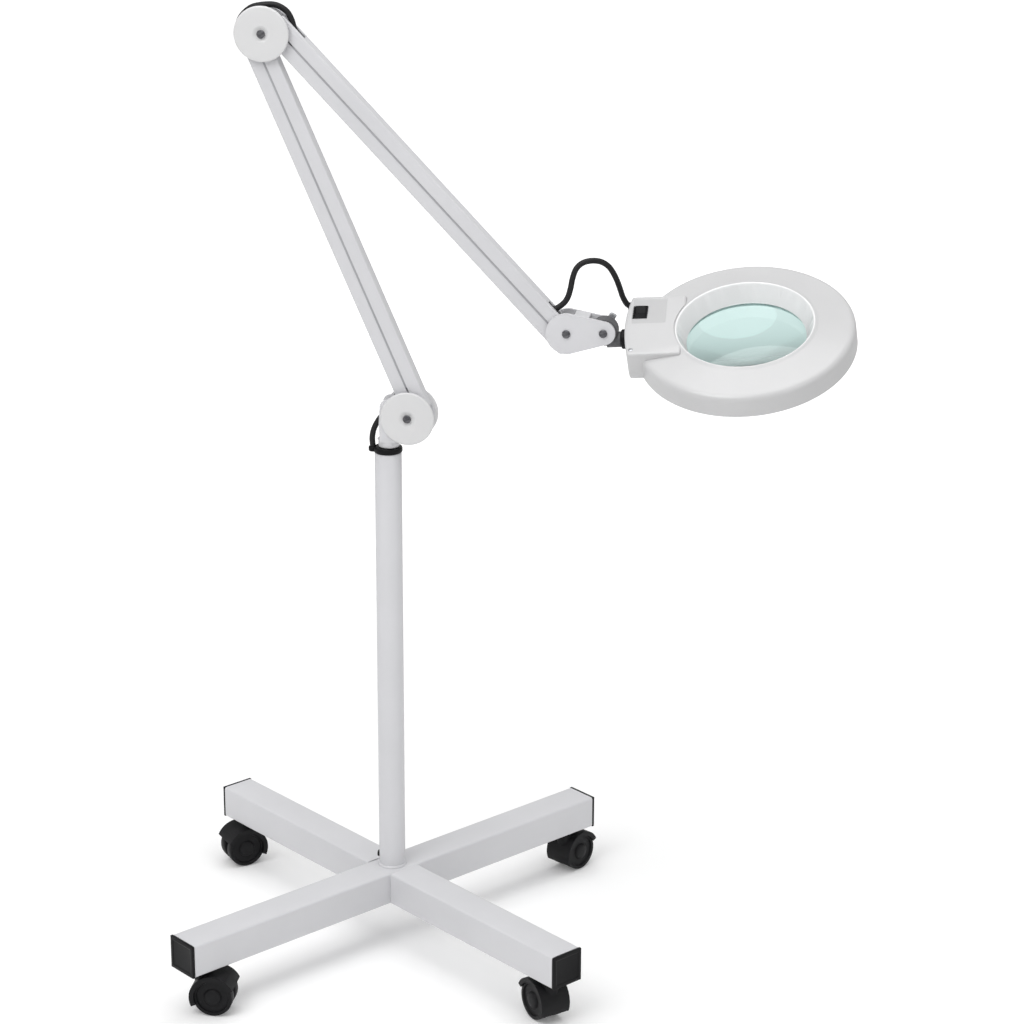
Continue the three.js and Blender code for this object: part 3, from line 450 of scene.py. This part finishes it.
def rod(name, r, start, end, sides=48, axis="z", at=(0, 0, 0)):
    """Plain cylinder along an axis, from start to end, in millimetres."""
    bpy.ops.object.select_all(action="DESELECT")
    bpy.ops.mesh.primitive_cylinder_add(vertices=sides, radius=r * mm, depth=(end - start) * mm,
                                        location=(0, 0, (start + end) / 2 * mm))
    piece = bpy.context.active_object
    piece.name = name
    bpy.ops.object.transform_apply(location=True)
    piece.matrix_world = Matrix.Translation(Vector(at) * mm) @ LAID_ALONG[axis]
    bpy.ops.object.transform_apply(location=True, rotation=True, scale=True)
    return piece


def turned(name, rings, sides=96, ring=False, axis="z", at=(0, 0, 0)):
    """Turned piece, drawn out ring by ring (radius and height in mm); ring leaves a hole through it."""
    bpy.ops.object.select_all(action="DESELECT")
    r, z = rings[0]
    bpy.ops.mesh.primitive_circle_add(vertices=sides, radius=r * mm, location=(0, 0, z * mm),
                                      fill_type="NOTHING" if ring else "NGON")
    piece = bpy.context.active_object
    piece.name = name
    bpy.ops.object.transform_apply(location=True)
    bpy.ops.object.mode_set(mode="EDIT")
    bpy.ops.mesh.select_mode(type="VERT")
    bpy.ops.mesh.select_all(action="SELECT")
    for next_r, next_z in [*rings[1:], rings[0]] if ring else rings[1:]:
        bpy.ops.mesh.extrude_region_move(TRANSFORM_OT_translate={"value": (0, 0, (next_z - z) * mm)})
        if next_r != r:
            bpy.ops.transform.resize(value=(next_r / r, next_r / r, 1), center_override=(0, 0, next_z * mm))
        r, z = next_r, next_z
    bpy.ops.mesh.select_all(action="SELECT")
    bpy.ops.mesh.remove_doubles(threshold=0.00001)
    bpy.ops.mesh.normals_make_consistent(inside=False)
    bpy.ops.object.mode_set(mode="OBJECT")
    piece.matrix_world = Matrix.Translation(Vector(at) * mm) @ LAID_ALONG[axis]
    bpy.ops.object.transform_apply(location=True, rotation=True, scale=True)
    return piece


for number, (leg, swing) in enumerate(((50.2, 56), (140.2, 216), (230.2, 0), (320.2, 130)), 1):
    stem_x, stem_y = 254 * math.cos(math.radians(leg)), 254 * math.sin(math.radians(leg))
    spot = place(stem_x, stem_y, 0, swing)
    hood = rod("hood", 24.5, -17, 17, 96, "y", (TRAIL, 0, AXLE_Z))
    only(hood)
    bpy.ops.object.mode_set(mode="EDIT")
    bpy.ops.mesh.select_all(action="SELECT")
    bpy.ops.mesh.bisect(plane_co=(TRAIL * mm, 0, AXLE_Z * mm), plane_no=(-0.4226, 0, 0.9063),
                        clear_inner=True, use_fill=True)
    bpy.ops.object.mode_set(mode="OBJECT")
    merged(hood, turned("boss", [(9.5, 30), (9.5, 46), (9, 50.7)], 64), "UNION")
    for side in (-1, 1):
        low, high = sorted((side * 3, side * 14.6))
        merged(hood, rod("room", 22.3, low, high, 96, "y", (TRAIL, 0, AXLE_Z)), "DIFFERENCE")
        low, high = sorted((side * 14, side * 18))
        merged(hood, rod("window", 19.5, low, high, 96, "y", (TRAIL, 0, AXLE_Z)), "DIFFERENCE")
    web = rod("web", 8.5, -3, 3, 48, "y", (TRAIL, 0, AXLE_Z))
    merged(hood, web, "UNION")
    eased(hood, 0.7, 2)
    fitted(hood, spot, f"caster_{number}", [f"caster_fork_{number}"], nylon)
    stem = turned("caster_stem", [(4.2, 48), (4.8, 51.6), (4.8, 66), (4.4, 66.5), (4.4, 67.5), (4.8, 68), (3.6, 69)], 40)
    fitted(stem, spot, f"caster_{number}", [f"caster_fork_{number}"], zinc)
    for side, letter in ((1, "a"), (-1, "b")):
        wheel = turned("wheel", [
            (2.9, 3.6), (19.2, 3.6), (20.4, 4.1), (21, 5.4), (21, 13), (20.6, 14.2), (19.2, 14.4), (17.4, 14.4),
            (16.6, 12.6), (9.5, 12.6), (8.6, 14.2), (7.6, 15), (3, 15.4),
        ], 72, axis="y", at=(TRAIL, 0, AXLE_Z))
        if side < 0:
            wheel.matrix_world = Matrix.Scale(-1, 4, (0, 1, 0))
        fitted(wheel, spot @ wheel.matrix_world, f"wheels_{number}", [f"wheel_{number}{letter}"],
               nylon)

# ---- Pole: round steel tube, 28 mm across, white powder coat, bolted down through the long beam.
# A hexagon bolt comes up from below, and a small rubber grommet sits in the back of its foot.
pole = turned("pole", [
    (11, 87.4), (13.4, 87.4), (14, 88), (14, 555.1), (13.6, 555.7), (12.9, 555.7), (12.5, 555.1), (12.5, 92.4),
    (11, 92.4),
], 96, ring=True)
fitted(pole, place(0, 0, 0), "base", ["pole"], powder_coat)
fillet = turned("pole_weld", [(13.9, 87.3), (15.6, 87.3), (15.2, 88.3), (14.1, 89.4), (13.9, 89.4)], 96, ring=True)
fitted(fillet, place(0, 0, 0), "base", ["pole"], powder_coat, 60)
bolt = rod("base_bolt", 9, 43.7, 50.7, 6)
eased(bolt, 0.8, 2)
merged(bolt, rod("shank", 5, 48, 91, 40), "UNION")
fitted(bolt, place(0, 0, 0), "base", ["base_bolt"], zinc)
grommet = turned("grommet", [
    (1.2, 12.3), (2.8, 12.3), (2.8, 13.9), (3.6, 14.3), (3.5, 15.4), (2.6, 16), (1.2, 15.6),
], 40, ring=True, axis="x")
fitted(grommet, place(0, 0, 97.8, 180), "base", ["lead_grommet"], cable_rubber, 50)

# ---- Bushing: black plastic collar and sleeve in the pole's mouth, where the arm's spigot turns.
# A round lug on its left side lets the cable out of the pole.
bushing = turned("pole_bushing", [
    (5.4, 501), (12.1, 501), (12.1, 556), (13.9, 556), (14.7, 556.5), (14.9, 557.2), (14.9, 560.1), (14.4, 561.2),
    (13.2, 561.7), (5.4, 561.7),
], 96, ring=True)
lug = rod("lug", 4.9, 556, 561.2, 48, at=(-15.6, 0, 0))
eased(lug, 1.2, 3)
merged(bushing, lug, "UNION")
merged(bushing, rod("mouth", 3.5, 557.6, 570, 48, at=(-15.6, 0, 0)), "DIFFERENCE")
fitted(bushing, place(0, 0, 0), "yoke", ["pole_bushing"], black_plastic)

# ---- Swivel yoke: two pressed steel plates on a turned foot, white powder coat.
# Its spigot runs down in the bushing; an ear on the left guides the cable.


def dressed(name, node, width):
    """Copy of a solid's shape with its flat faces joined up and its edges eased."""
    piece = bpy.data.objects.new(name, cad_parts[node].data.copy())
    bpy.context.scene.collection.objects.link(piece)
    only(piece)
    bpy.ops.object.mode_set(mode="EDIT")
    bpy.ops.mesh.select_all(action="SELECT")
    bpy.ops.mesh.remove_doubles(threshold=0.00002)
    bpy.ops.mesh.normals_make_consistent(inside=False)
    bpy.ops.mesh.dissolve_limited(angle_limit=math.radians(1))
    bpy.ops.object.mode_set(mode="OBJECT")
    return eased(piece, width, 2, 30)


yoke = dressed("swivel_yoke", "swivel_yoke", 0.5)
fitted(yoke, Matrix(), "yoke", ["swivel_yoke"], powder_coat, 40)
boss = turned("yoke_foot", [(10.2, 562.2), (10.8, 562.7), (11, 563.4), (11, 571)], 64, at=(1, 0, 0))
fitted(boss, place(0, 0, 0), "yoke", ["swivel_yoke"], powder_coat)

# ---- Joint covers: four round white plastic discs, 56 mm across, with a dished middle for the screw.
# Each pair is clamped on a joint's plates by one long slotted screw with a cap nut behind.
JOINTS = {"base": (22.6, 596.2), "elbow": (-121.16, 988.25)}
white_plastic = finish_of(
    "white_plastic", (0.70, 0.70, 0.705), (0.68, 0.68, 0.685), 14, 2600, (0.28, 0.38), 0.000015, coat=0.15
)


dull_zinc = finish_of("dull_zinc", (0.2, 0.2, 0.21), (0.1, 0.1, 0.11), 200, 2600, (0.35, 0.5), 0.00001, metal=1.0)


def slotted(name, r, seat, high):
    """Screw head with a slot, facing forward, its underside at y = -seat."""
    head = turned(name, [
        (r, seat), (r, seat + high * 0.55), (r * 0.86, seat + high * 0.9), (r * 0.5, seat + high),
    ], 48, axis="y")
    head.matrix_world = Matrix.Rotation(math.pi, 4, "Z")
    only(head)
    bpy.ops.object.transform_apply(rotation=True)
    slot = block("slot", (-r - 1, -seat - high - 1, -0.8), (r + 1, -seat - high + 1.3, 0.8))
    slot.matrix_world = Matrix.Rotation(math.radians(-24), 4, "Y")
    return merged(head, slot, "DIFFERENCE")


for joint, (x, z) in JOINTS.items():
    body = "yoke" if joint == "base" else "elbow"
    for side, where in ((-1, "front"), (1, "rear")):
        disc = turned("cover", [
            (2.4, 11.4), (27.3, 11.4), (28, 12), (28, 13.2), (27.7, 13.8), (26.9, 14.2), (25.6, 14.35), (9, 14.7),
            (7.6, 14.5), (6.4, 13.4), (2.4, 13.4),
        ], 128, ring=True, axis="y")
        flip = Matrix.Rotation(math.pi if side < 0 else 0, 4, "Z")
        fitted(disc, place(x, 0, z) @ flip, body, [f"{joint}_cover_{where}"], white_plastic, 50)
    screw = slotted("screw", 4.2, 13.7, 2.2)
    merged(screw, rod("shank", 2, -14, 14, 32, "y"), "UNION")
    nut = turned("nut", [(4.4, 13.7), (4.4, 14.8), (3.6, 15.7), (2, 16.1)], 6, axis="y")
    merged(screw, nut, "UNION")
    node = "base_cover_screw" if joint == "base" else "elbow_screw"
    fitted(screw, place(x, 0, z), body, [node], dull_zinc)

# ---- Elbow frame: two round steel plates with a spacer between, inside the covers, white powder coat.
# Eight pins, 4 mm thick and zinc plated, carry the channels at the shoulder, the elbow and the wrist.
spool = turned("elbow_frame", [
    (2.3, -11.1), (24.6, -11.1), (25, -10.7), (25, -9), (24.6, -8.6), (4.6, -8.6), (4.6, 8.6), (24.6, 8.6),
    (25, 9), (25, 10.7), (24.6, 11.1), (2.3, 11.1),
], 96, ring=True, axis="y")
fitted(spool, place(-121.16, 0, 988.25), "elbow", ["elbow_frame"], powder_coat)
PINS = {
    "shoulder_pin_outer": ("yoke", 37.37, 607.96, 11.1),
    "shoulder_pin_inner": ("yoke", 20.43, 609.44, 11.1),
    "elbow_pin_lower_outer": ("elbow", -118, 972.21, 11.1),
    "elbow_pin_lower_inner": ("elbow", -134.93, 973.69, 11.1),
    "elbow_pin_upper_outer": ("elbow", -102.66, 998.91, 11.1),
    "elbow_pin_upper_inner": ("elbow", -108.06, 982.79, 11.1),
    "wrist_pin_inner": ("bracket", 180.5, 677.63, 11.2),
}
for node, (body, x, z, half) in PINS.items():
    pin = turned("pin", [(1.6, -half), (2, -half + 0.4), (2, half - 0.4), (1.6, half)], 32, axis="y")
    fitted(pin, place(x, 0, z), body, [node], zinc)

# ---- Arm channels: four folded steel channels, 13.4 mm deep, with round ends, white powder coat.
# Each pair runs side by side with a narrow slit between, open sides facing, and the springs and cable inside.


# Grey for the lips beside the slit between two channels: painted shade, standing in for the slit's shadow line.
slit_painted_shade = finish_of("slit_painted_shade", (0.42, 0.42, 0.44), (0.38, 0.38, 0.4), 20, 1100, (0.4, 0.5), 0.00002)


def channel(node, body, start, lean, long, up, half, slots, lips=0):
    """Channel from pin to pin; up is the side its back faces; slots are where the cable comes out."""
    bpy.ops.object.select_all(action="DESELECT")
    bpy.ops.mesh.primitive_circle_add(vertices=64, radius=6.7 * mm, fill_type="NGON",
                                      rotation=(math.pi / 2, 0, 0))
    piece = bpy.context.active_object
    piece.name = node
    bpy.ops.object.transform_apply(rotation=True)
    pick_points(piece, lambda co: co.x > 0.00001)
    bpy.ops.transform.translate(value=(long * mm, 0, 0))
    bpy.ops.mesh.select_all(action="SELECT")
    bpy.ops.transform.translate(value=(0, -half * mm, 0))
    bpy.ops.mesh.extrude_region_move(TRANSFORM_OT_translate={"value": (0, 2 * half * mm, 0)})
    bpy.ops.mesh.select_all(action="SELECT")
    bpy.ops.mesh.normals_make_consistent(inside=False)
    bpy.ops.object.mode_set(mode="OBJECT")
    eased(piece, 1.0, 3)
    inside = half - 1.2
    merged(piece, block("inside", (-9, -inside, -12), (long + 9, inside, 5.5)), "DIFFERENCE")
    for low, high in slots:
        merged(piece, block("slot", (low, -3.8, 0), (high, 3.8, 9)), "DIFFERENCE")
    for x in (0, long):
        merged(piece, rod("hole", 2.4, -half - 2, half + 2, 32, "y", (x, 0, 0)), "DIFFERENCE")
    over = Matrix.Rotation(math.pi if up < 0 else 0, 4, "X")
    swing = Matrix.Rotation(math.radians(-lean), 4, "Y")
    spot = place(start[0], 0, start[1]) @ swing @ over
    fitted(piece, spot, body, [node], powder_coat)
    # The lips are strips along the slit's edges, coloured grey as painted shade for the shadow in the slit.
    for low, high in ((-half + 0.1, -inside + 0.1), (inside - 0.1, half - 0.1)) if lips else ():
        lip = eased(block("channel_lip", (16, low, -6.7 - lips), (long - 16, high, -5)), 0.2, 2)
        fitted(lip, spot, body, [node], slit_painted_shade)


channel("lower_channel_outer", "lower_outer", (37.37, 607.96), 113.1, 396, -1, 8, [])
channel("lower_channel_inner", "lower_inner", (20.43, 609.44), 113.1, 396, 1, 6.4,
        [(-10, 32), (370, 406)], lips=2.2)
channel("upper_channel_outer", "upper_outer", (-102.66, 998.91), -46.6, 420, 1, 8, [(-10, 27), (385, 430)])
channel("upper_channel_inner", "upper_inner", (-108.06, 982.79), -46.6, 420, -1, 6.4, [], lips=2.2)

# ---- Balance springs: a close-wound extension spring in each arm, 8 mm across, of 1.2 mm wire.
# Straight hooked ends run from the coil to the pins.


def spring(node, body, start, lean):
    """Coil along an arm, from 30 mm past its pin."""
    bpy.ops.object.select_all(action="DESELECT")
    bpy.ops.mesh.primitive_circle_add(vertices=8, radius=0.6 * mm, location=(3.4 * mm, 0, 0),
                                      rotation=(math.pi / 2, 0, 0))
    piece = bpy.context.active_object
    piece.name = node
    bpy.ops.object.transform_apply(location=True, rotation=True)
    wind = piece.modifiers.new("wind", "SCREW")
    wind.screw_offset = 2 * mm
    wind.iterations = 74
    wind.steps = 16
    wind.render_steps = 16
    wind.use_normal_calculate = True
    bpy.ops.object.modifier_apply(modifier="wind")
    for low, high in ((-16, 1), (147, 164)):
        wire = turned("hook", [(0.7, low), (1, low + 0.4), (1, high - 0.4), (0.7, high)], 16)
        only(wire)
        piece.select_set(True)
        bpy.context.view_layer.objects.active = piece
        bpy.ops.object.join()
    lay = Matrix.Rotation(math.pi / 2, 4, "Y") @ Matrix.Translation((0.9 * mm, 0, 31 * mm))
    swing = Matrix.Rotation(math.radians(-lean), 4, "Y")
    return fitted(piece, place(start[0], 0, start[1]) @ swing @ lay, body, [node], zinc)


spring("lower_spring", "lower_outer", (37.37, 607.96), 113.1)
spring("upper_spring", "upper_inner", (-108.06, 982.79), -46.6)

# ---- Head bracket: two drop-shaped steel plates with a folded web along the top, white powder coat.
# The arm's pins hold its wide end, and the tilt bolt and a wing knob clamp the knuckle in its narrow end.
HEAD_SCREW, TILT_BOLT = (185.9, 693.75), (223.4, 695.95)


def drop(name, big, small, low, high):
    """Plate with one wide and one narrow round end, spanning the two bracket centres."""
    plate = rod(name, big, low, high, 96, "y", (HEAD_SCREW[0], 0, HEAD_SCREW[1]))
    other = rod("end", small, low, high, 96, "y", (TILT_BOLT[0], 0, TILT_BOLT[1]))
    only(plate)
    other.select_set(True)
    bpy.ops.object.join()
    bpy.ops.object.mode_set(mode="EDIT")
    bpy.ops.mesh.select_all(action="SELECT")
    bpy.ops.mesh.convex_hull()
    bpy.ops.mesh.dissolve_limited(angle_limit=math.radians(0.5))
    bpy.ops.object.mode_set(mode="OBJECT")
    return plate


bracket = drop("head_bracket", 21, 12.1, -11.6, -8.6)
merged(bracket, drop("rear", 21, 12.1, 8.6, 11.6), "UNION")
web = drop("web", 21, 12.1, -9.6, 9.6)
merged(web, drop("inner", 18.5, 9.6, -20, 20), "DIFFERENCE")
merged(web, block("left", (100, -20, 600), (HEAD_SCREW[0] + 8, 20, 800)), "DIFFERENCE")
merged(web, block("right", (TILT_BOLT[0] - 15, -20, 600), (300, 20, 800)), "DIFFERENCE")
merged(web, block("below", (100, -20, 600), (300, 20, HEAD_SCREW[1])), "DIFFERENCE")
merged(bracket, web, "UNION")
eased(bracket, 0.6, 3)
fitted(bracket, place(0, 0, 0), "bracket", ["head_bracket"], powder_coat)
for node, (x, z), r, tip in (("bracket_screw", HEAD_SCREW, 2, 11.6), ("tilt_bolt", TILT_BOLT, 3, 19.6)):
    screw = slotted("screw", 4.2, 11.9, 2)
    merged(screw, rod("shank", r, -13, tip, 32, "y"), "UNION")
    fitted(screw, place(x, 0, z), "bracket", [node], dull_zinc)

# ---- Wing knob: cast zinc, a round hub with one straight wing across it, on the end of the tilt bolt.
# The wing stands up to the right behind the bracket.
hub = turned("wing_knob", [(3.4, 12), (5.6, 12), (6, 12.5), (6, 19), (5.2, 20), (3.4, 20)], 48, ring=True, axis="y")
wing = block("wing", (-15.5, 15.5, -3.75), (15.5, 18.5, 3.75))
eased(wing, 1.3, 3)
wing.matrix_world = Matrix.Rotation(math.radians(-62), 4, "Y")
merged(wing, rod("hole", 3.4, 10, 22, 32, "y"), "DIFFERENCE")
merged(hub, wing, "UNION")
fitted(hub, place(TILT_BOLT[0], 0, TILT_BOLT[1]), "knob", ["wing_knob"], zinc)

# ---- Tilt knuckle and neck stem: black plastic. The knuckle is a round barrel gripped by the bracket;
# the stem turns in it, with a flange against the end of the head's neck.
at_bolt = place(TILT_BOLT[0], 0, TILT_BOLT[1]) @ Matrix.Rotation(math.radians(-4.7), 4, "Y")
at_roll = at_bolt @ Matrix.Translation((0, 0, -9.6 * mm)) @ Matrix.Rotation(math.radians(21.5), 4, "X")
grey_plastic = finish_of("grey_plastic", (0.1, 0.1, 0.105), (0.06, 0.06, 0.065), 60, 2200, (0.35, 0.5), 0.00003)
knuckle = turned("tilt_knuckle", [(13.2, -8.2), (13.8, -7.6), (13.8, 7.6), (13.2, 8.2)], 96, axis="y")
merged(knuckle, turned("barrel", [(8, 2), (8, 15.9), (7.4, 16.5)], 64, axis="x", at=(0, 0, -9.6)), "UNION")
merged(knuckle, rod("bore", 4.4, 3, 20, 48, "x", (0, 0, -9.6)), "DIFFERENCE")
merged(knuckle, rod("bolt hole", 3.4, -20, 20, 32, "y"), "DIFFERENCE")
fitted(knuckle, at_bolt, "knuckle", ["tilt_knuckle"], grey_plastic)
stem = turned("neck_stem", [
    (4, 4.5), (4, 16.8), (9, 16.8), (10, 17.6), (10, 20.2), (9.6, 20.6), (4, 20.6), (4, 25), (7, 25), (7, 30),
    (4, 30), (4, 34),
], 64, axis="x")
fitted(stem, at_roll, "head", ["neck_stem"], black_plastic)

# ---- Head shell: one white plastic moulding, a ring 221 mm across with a sloped top, a raised lip and a funnel
# down to the lens, and a box-shaped neck with a bulged end. The walls are 2.2 mm, open underneath.
head_plastic = finish_of(
    "head_plastic", (0.60, 0.60, 0.605), (0.58, 0.58, 0.585), 14, 2600, (0.26, 0.36), 0.000015, coat=0.15
)
at_head = at_roll @ Matrix.Translation((142.4 * mm, 0, 7 * mm))
shell = turned("head_shell", [
    (63.8, -23.5), (63.8, -13.7), (60.3, -13.7), (60, -13.2), (60.2, -12.4), (68.2, 5.6), (68.9, 6.6), (70, 7),
    (71.2, 6.8), (72.3, 6), (74.2, 5.2), (103, 0.4), (105.4, -0.1), (107.4, -1.1), (108.9, -2.6), (109.8, -4.6),
    (110.1, -7), (110.5, -23.5), (108.3, -23.5), (107.8, -7), (105.8, -4.2), (103.2, -2.6), (74, 2.6), (71.4, 2.8),
    (66, -9.4), (66, -23.5),
], 192, ring=True)


def neck_box(name, end, near, far, reach, low, high):
    """Box with a bulged far end, cut from a large disc."""
    piece = rod(name, 220, low, high, 512, at=(end + 220, 8, 0))
    only(piece)
    bpy.ops.object.mode_set(mode="EDIT")
    for spot, facing in (((0, far, 0), (0, -1, 0)), ((0, near, 0), (0, 1, 0)), ((reach, 0, 0), (-1, 0, 0))):
        bpy.ops.mesh.select_all(action="SELECT")
        bpy.ops.mesh.bisect(plane_co=Vector(spot) * mm, plane_no=facing, clear_inner=True, use_fill=True)
    bpy.ops.object.mode_set(mode="OBJECT")
    return piece


neck = eased(neck_box("neck", -121.5, -45, 51, -62, -23.5, 8), 2.5, 4, 50)
merged(neck, eased(neck_box("neck room", -118.7, -42.2, 48.2, -55, -30, 5.6), 1.5, 2, 50), "DIFFERENCE")
sight = turned("sight", [(63, -40), (63, -13.7), (60.2, -12.4), (68.2, 5.6), (68.2, 40)], 192)
merged(neck, turned("bowl", [(66, -40), (66, -9.4), (71.4, 2.8), (71.4, 40)], 192), "DIFFERENCE")
merged(shell, neck, "UNION")
merged(shell, sight, "DIFFERENCE")
recess = block("recess", (-115.5, 5, 7.4), (-80, 46.5, 12))
merged(shell, eased(recess, 1.5, 3), "DIFFERENCE")
merged(shell, block("switch hole", (-113.1, 15.1, -1), (-100.9, 32.9, 12)), "DIFFERENCE")
merged(shell, rod("stem hole", 4.3, -125, -110, 40, "x", (0, 0, -7)), "DIFFERENCE")
merged(shell, rod("cable hole", 3.6, -125, -106, 40, "x", (0, 43, 1)), "DIFFERENCE")
fitted(shell, at_head, "head", ["head_shell"], head_plastic, 28)
# The funnel's faces get a paler copy of the shell's white: painted light on the funnel.
shell.data.materials.append(finish_of(
    "funnel_painted_light", (0.88, 0.88, 0.885), (0.85, 0.85, 0.855), 14, 2600, (0.2, 0.3), 0.00001, coat=0.2
))
# Faces inside the funnel take the paler painted-light material, the rest keep the shell's white.
into_head = at_head.inverted()
for face in shell.data.polygons:
    spot = into_head @ face.center / mm
    face.material_index = int(math.hypot(spot.x, spot.y) < 69.5 and spot.z > -13.6)
# The switch panel is a thin sheet in the neck's recess, coloured darker than the shell: painted shade on the far
# half of the neck.
panel = block("switch_panel", (-115.3, 5.2, 7.2), (-80.2, 46.3, 7.55))
merged(panel, block("switch hole", (-113.1, 15.1, -1), (-100.9, 32.9, 12)), "DIFFERENCE")
panel_painted_shade = finish_of(
    "panel_painted_shade", (0.52, 0.52, 0.525), (0.5, 0.5, 0.505), 14, 2600, (0.32, 0.42), 0.00002
)
fitted(panel, at_head, "head", ["head_shell"], panel_painted_shade)
screw = turned("neck_screw", [(2.4, 7.4), (2.4, 8.3), (1.9, 8.5)], 32, at=(-112, -38, 0))
fitted(screw, at_head, "head", ["head_shell"], zinc)
gland = turned("cable_gland", [
    (3.1, -121.6), (4.1, -121.6), (4.7, -120.8), (4.7, -118.4), (3.5, -118.4), (3.5, -110), (3.1, -110),
], 48, ring=True, axis="x", at=(0, 43, 1))
fitted(gland, at_head, "head", ["head_shell"], black_plastic, 50)

# ---- Light window: opal plastic, a flat ring and a neck plate that close the shell from below.
opal = finish_of("opal", (0.86, 0.86, 0.85), (0.83, 0.83, 0.82), 20, 2400, (0.35, 0.5), 0.00001)
window = turned("light_window", [(66.3, -23.3), (107.8, -23.3), (107.8, -21.3), (66.3, -21.3)], 128, ring=True)
plate = neck_box("plate", -118, -41.5, 47.5, -92, -23.3, -21.3)
merged(plate, rod("ring room", 107, -30, -10, 192), "DIFFERENCE")
merged(window, plate, "UNION")
fitted(window, at_head, "head", ["light_window"], opal)

# ---- Lens: one clear glass disc, 127 mm across and domed on both faces, with a faint green tint.
# It sits under the funnel's edge and is held by a thin white ring that screws in from below.
LENS_R, LENS_SAG, LENS_EDGE, LENS_EDGE_TOP = 63.5, 5.8, 2.6, -14.6
dome_r = (LENS_R ** 2 + LENS_SAG ** 2) / (2 * LENS_SAG)
radii = [LENS_R * step / 14 for step in range(15)]
dome = [(r, math.sqrt(dome_r ** 2 - r ** 2) - dome_r + LENS_SAG) for r in radii]
dome[0] = (0.8, dome[0][1])
under = [(r, LENS_EDGE_TOP - LENS_EDGE - high) for r, high in dome]
above = [(r, LENS_EDGE_TOP + high) for r, high in reversed(dome)]
lens = turned("lens", [*under, *above], 192)
glass = bpy.data.materials.new("lens_glass")
glass.use_nodes = True
clear = glass.node_tree.nodes["Principled BSDF"]
clear.inputs["Base Color"].default_value = (0.76, 0.985, 0.955, 1)
clear.inputs["Transmission Weight"].default_value = 1
clear.inputs["IOR"].default_value = 1.5
smear = glass.node_tree.nodes.new("ShaderNodeGroup")
smear.node_tree = mottle
smear.inputs["Clouds"].default_value = 25
smear.inputs["Grain"].default_value = 60
smear.inputs["Gloss low"].default_value = 0.0
smear.inputs["Gloss high"].default_value = 0.03
glass.node_tree.links.new(smear.outputs["Roughness"], clear.inputs["Roughness"])
fitted(lens, at_head, "head", ["lens"], glass, 60)
ring_top = LENS_EDGE_TOP - 3.2
keeper = turned("lens_ring", [
    (61.6, ring_top - 2.4), (63.4, ring_top - 2.4), (63.4, ring_top), (62.7, ring_top),
], 128, ring=True)
fitted(keeper, at_head, "head", ["lens_ring"], white_plastic)

# ---- Lamp tube and driver: a round fluorescent tube in the ring, and the box that feeds it, in the neck.
# The tube is an open ring of glass: its two ends meet in a plastic base on the neck's side.
bpy.ops.object.select_all(action="DESELECT")
bpy.ops.mesh.primitive_torus_add(major_radius=88 * mm, minor_radius=8 * mm, major_segments=96,
                                 minor_segments=24, location=(0, 0, -12.5 * mm))
tube = bpy.context.active_object
bpy.ops.object.transform_apply(location=True)
merged(tube, block("tube gap", (-100, -6, -24), (-76, 6, 0)), "DIFFERENCE")
fitted(tube, at_head, "head", ["lamp_tube"], opal, 60)
tube_base = eased(block("tube_base", (-96.8, -13, -21), (-79.2, 13, -3.6)), 1.6, 3)
fitted(tube_base, at_head, "head", ["lamp_tube"], white_plastic)
driver = eased(block("driver_box", (-111, -38, -19), (-98, -9, -2)), 0.8, 2)
fitted(driver, at_head, "head", ["driver_box"], zinc)

# ---- Rocker switch: black, 11.5 by 17 mm, set in a black bezel on the far half of the neck.
# The rocker's face is a shallow vee, and it is tipped to one end.
bezel = eased(block("switch_bezel", (-114.4, 13.9, 7.3), (-99.6, 34.1, 8.7)), 0.6, 2)
merged(bezel, block("opening", (-113, 15.2, 0), (-101, 32.8, 20)), "DIFFERENCE")
fitted(bezel, at_head, "head", ["head_shell"], black_plastic)
rocker = block("rocker_switch", (-5.7, -8.2, -6), (5.7, 8.2, 4.2))
only(rocker)
bpy.ops.object.mode_set(mode="EDIT")
bpy.ops.mesh.select_all(action="SELECT")
bpy.ops.mesh.bisect(plane_co=(0, 0, 0), plane_no=(0, 1, 0))
bpy.ops.object.mode_set(mode="OBJECT")
pick_points(rocker, lambda co: abs(co.y) < 0.0001 and co.z > 0)
bpy.ops.transform.translate(value=(0, 0, -2.6 * mm))
bpy.ops.object.mode_set(mode="OBJECT")
eased(rocker, 0.8, 3, 12)
tip = at_head @ Matrix.Translation(Vector((-107, 24, 5.8)) * mm) @ Matrix.Rotation(math.radians(7), 4, "X")
fitted(rocker, tip, "rocker", ["rocker_switch"], black_plastic)
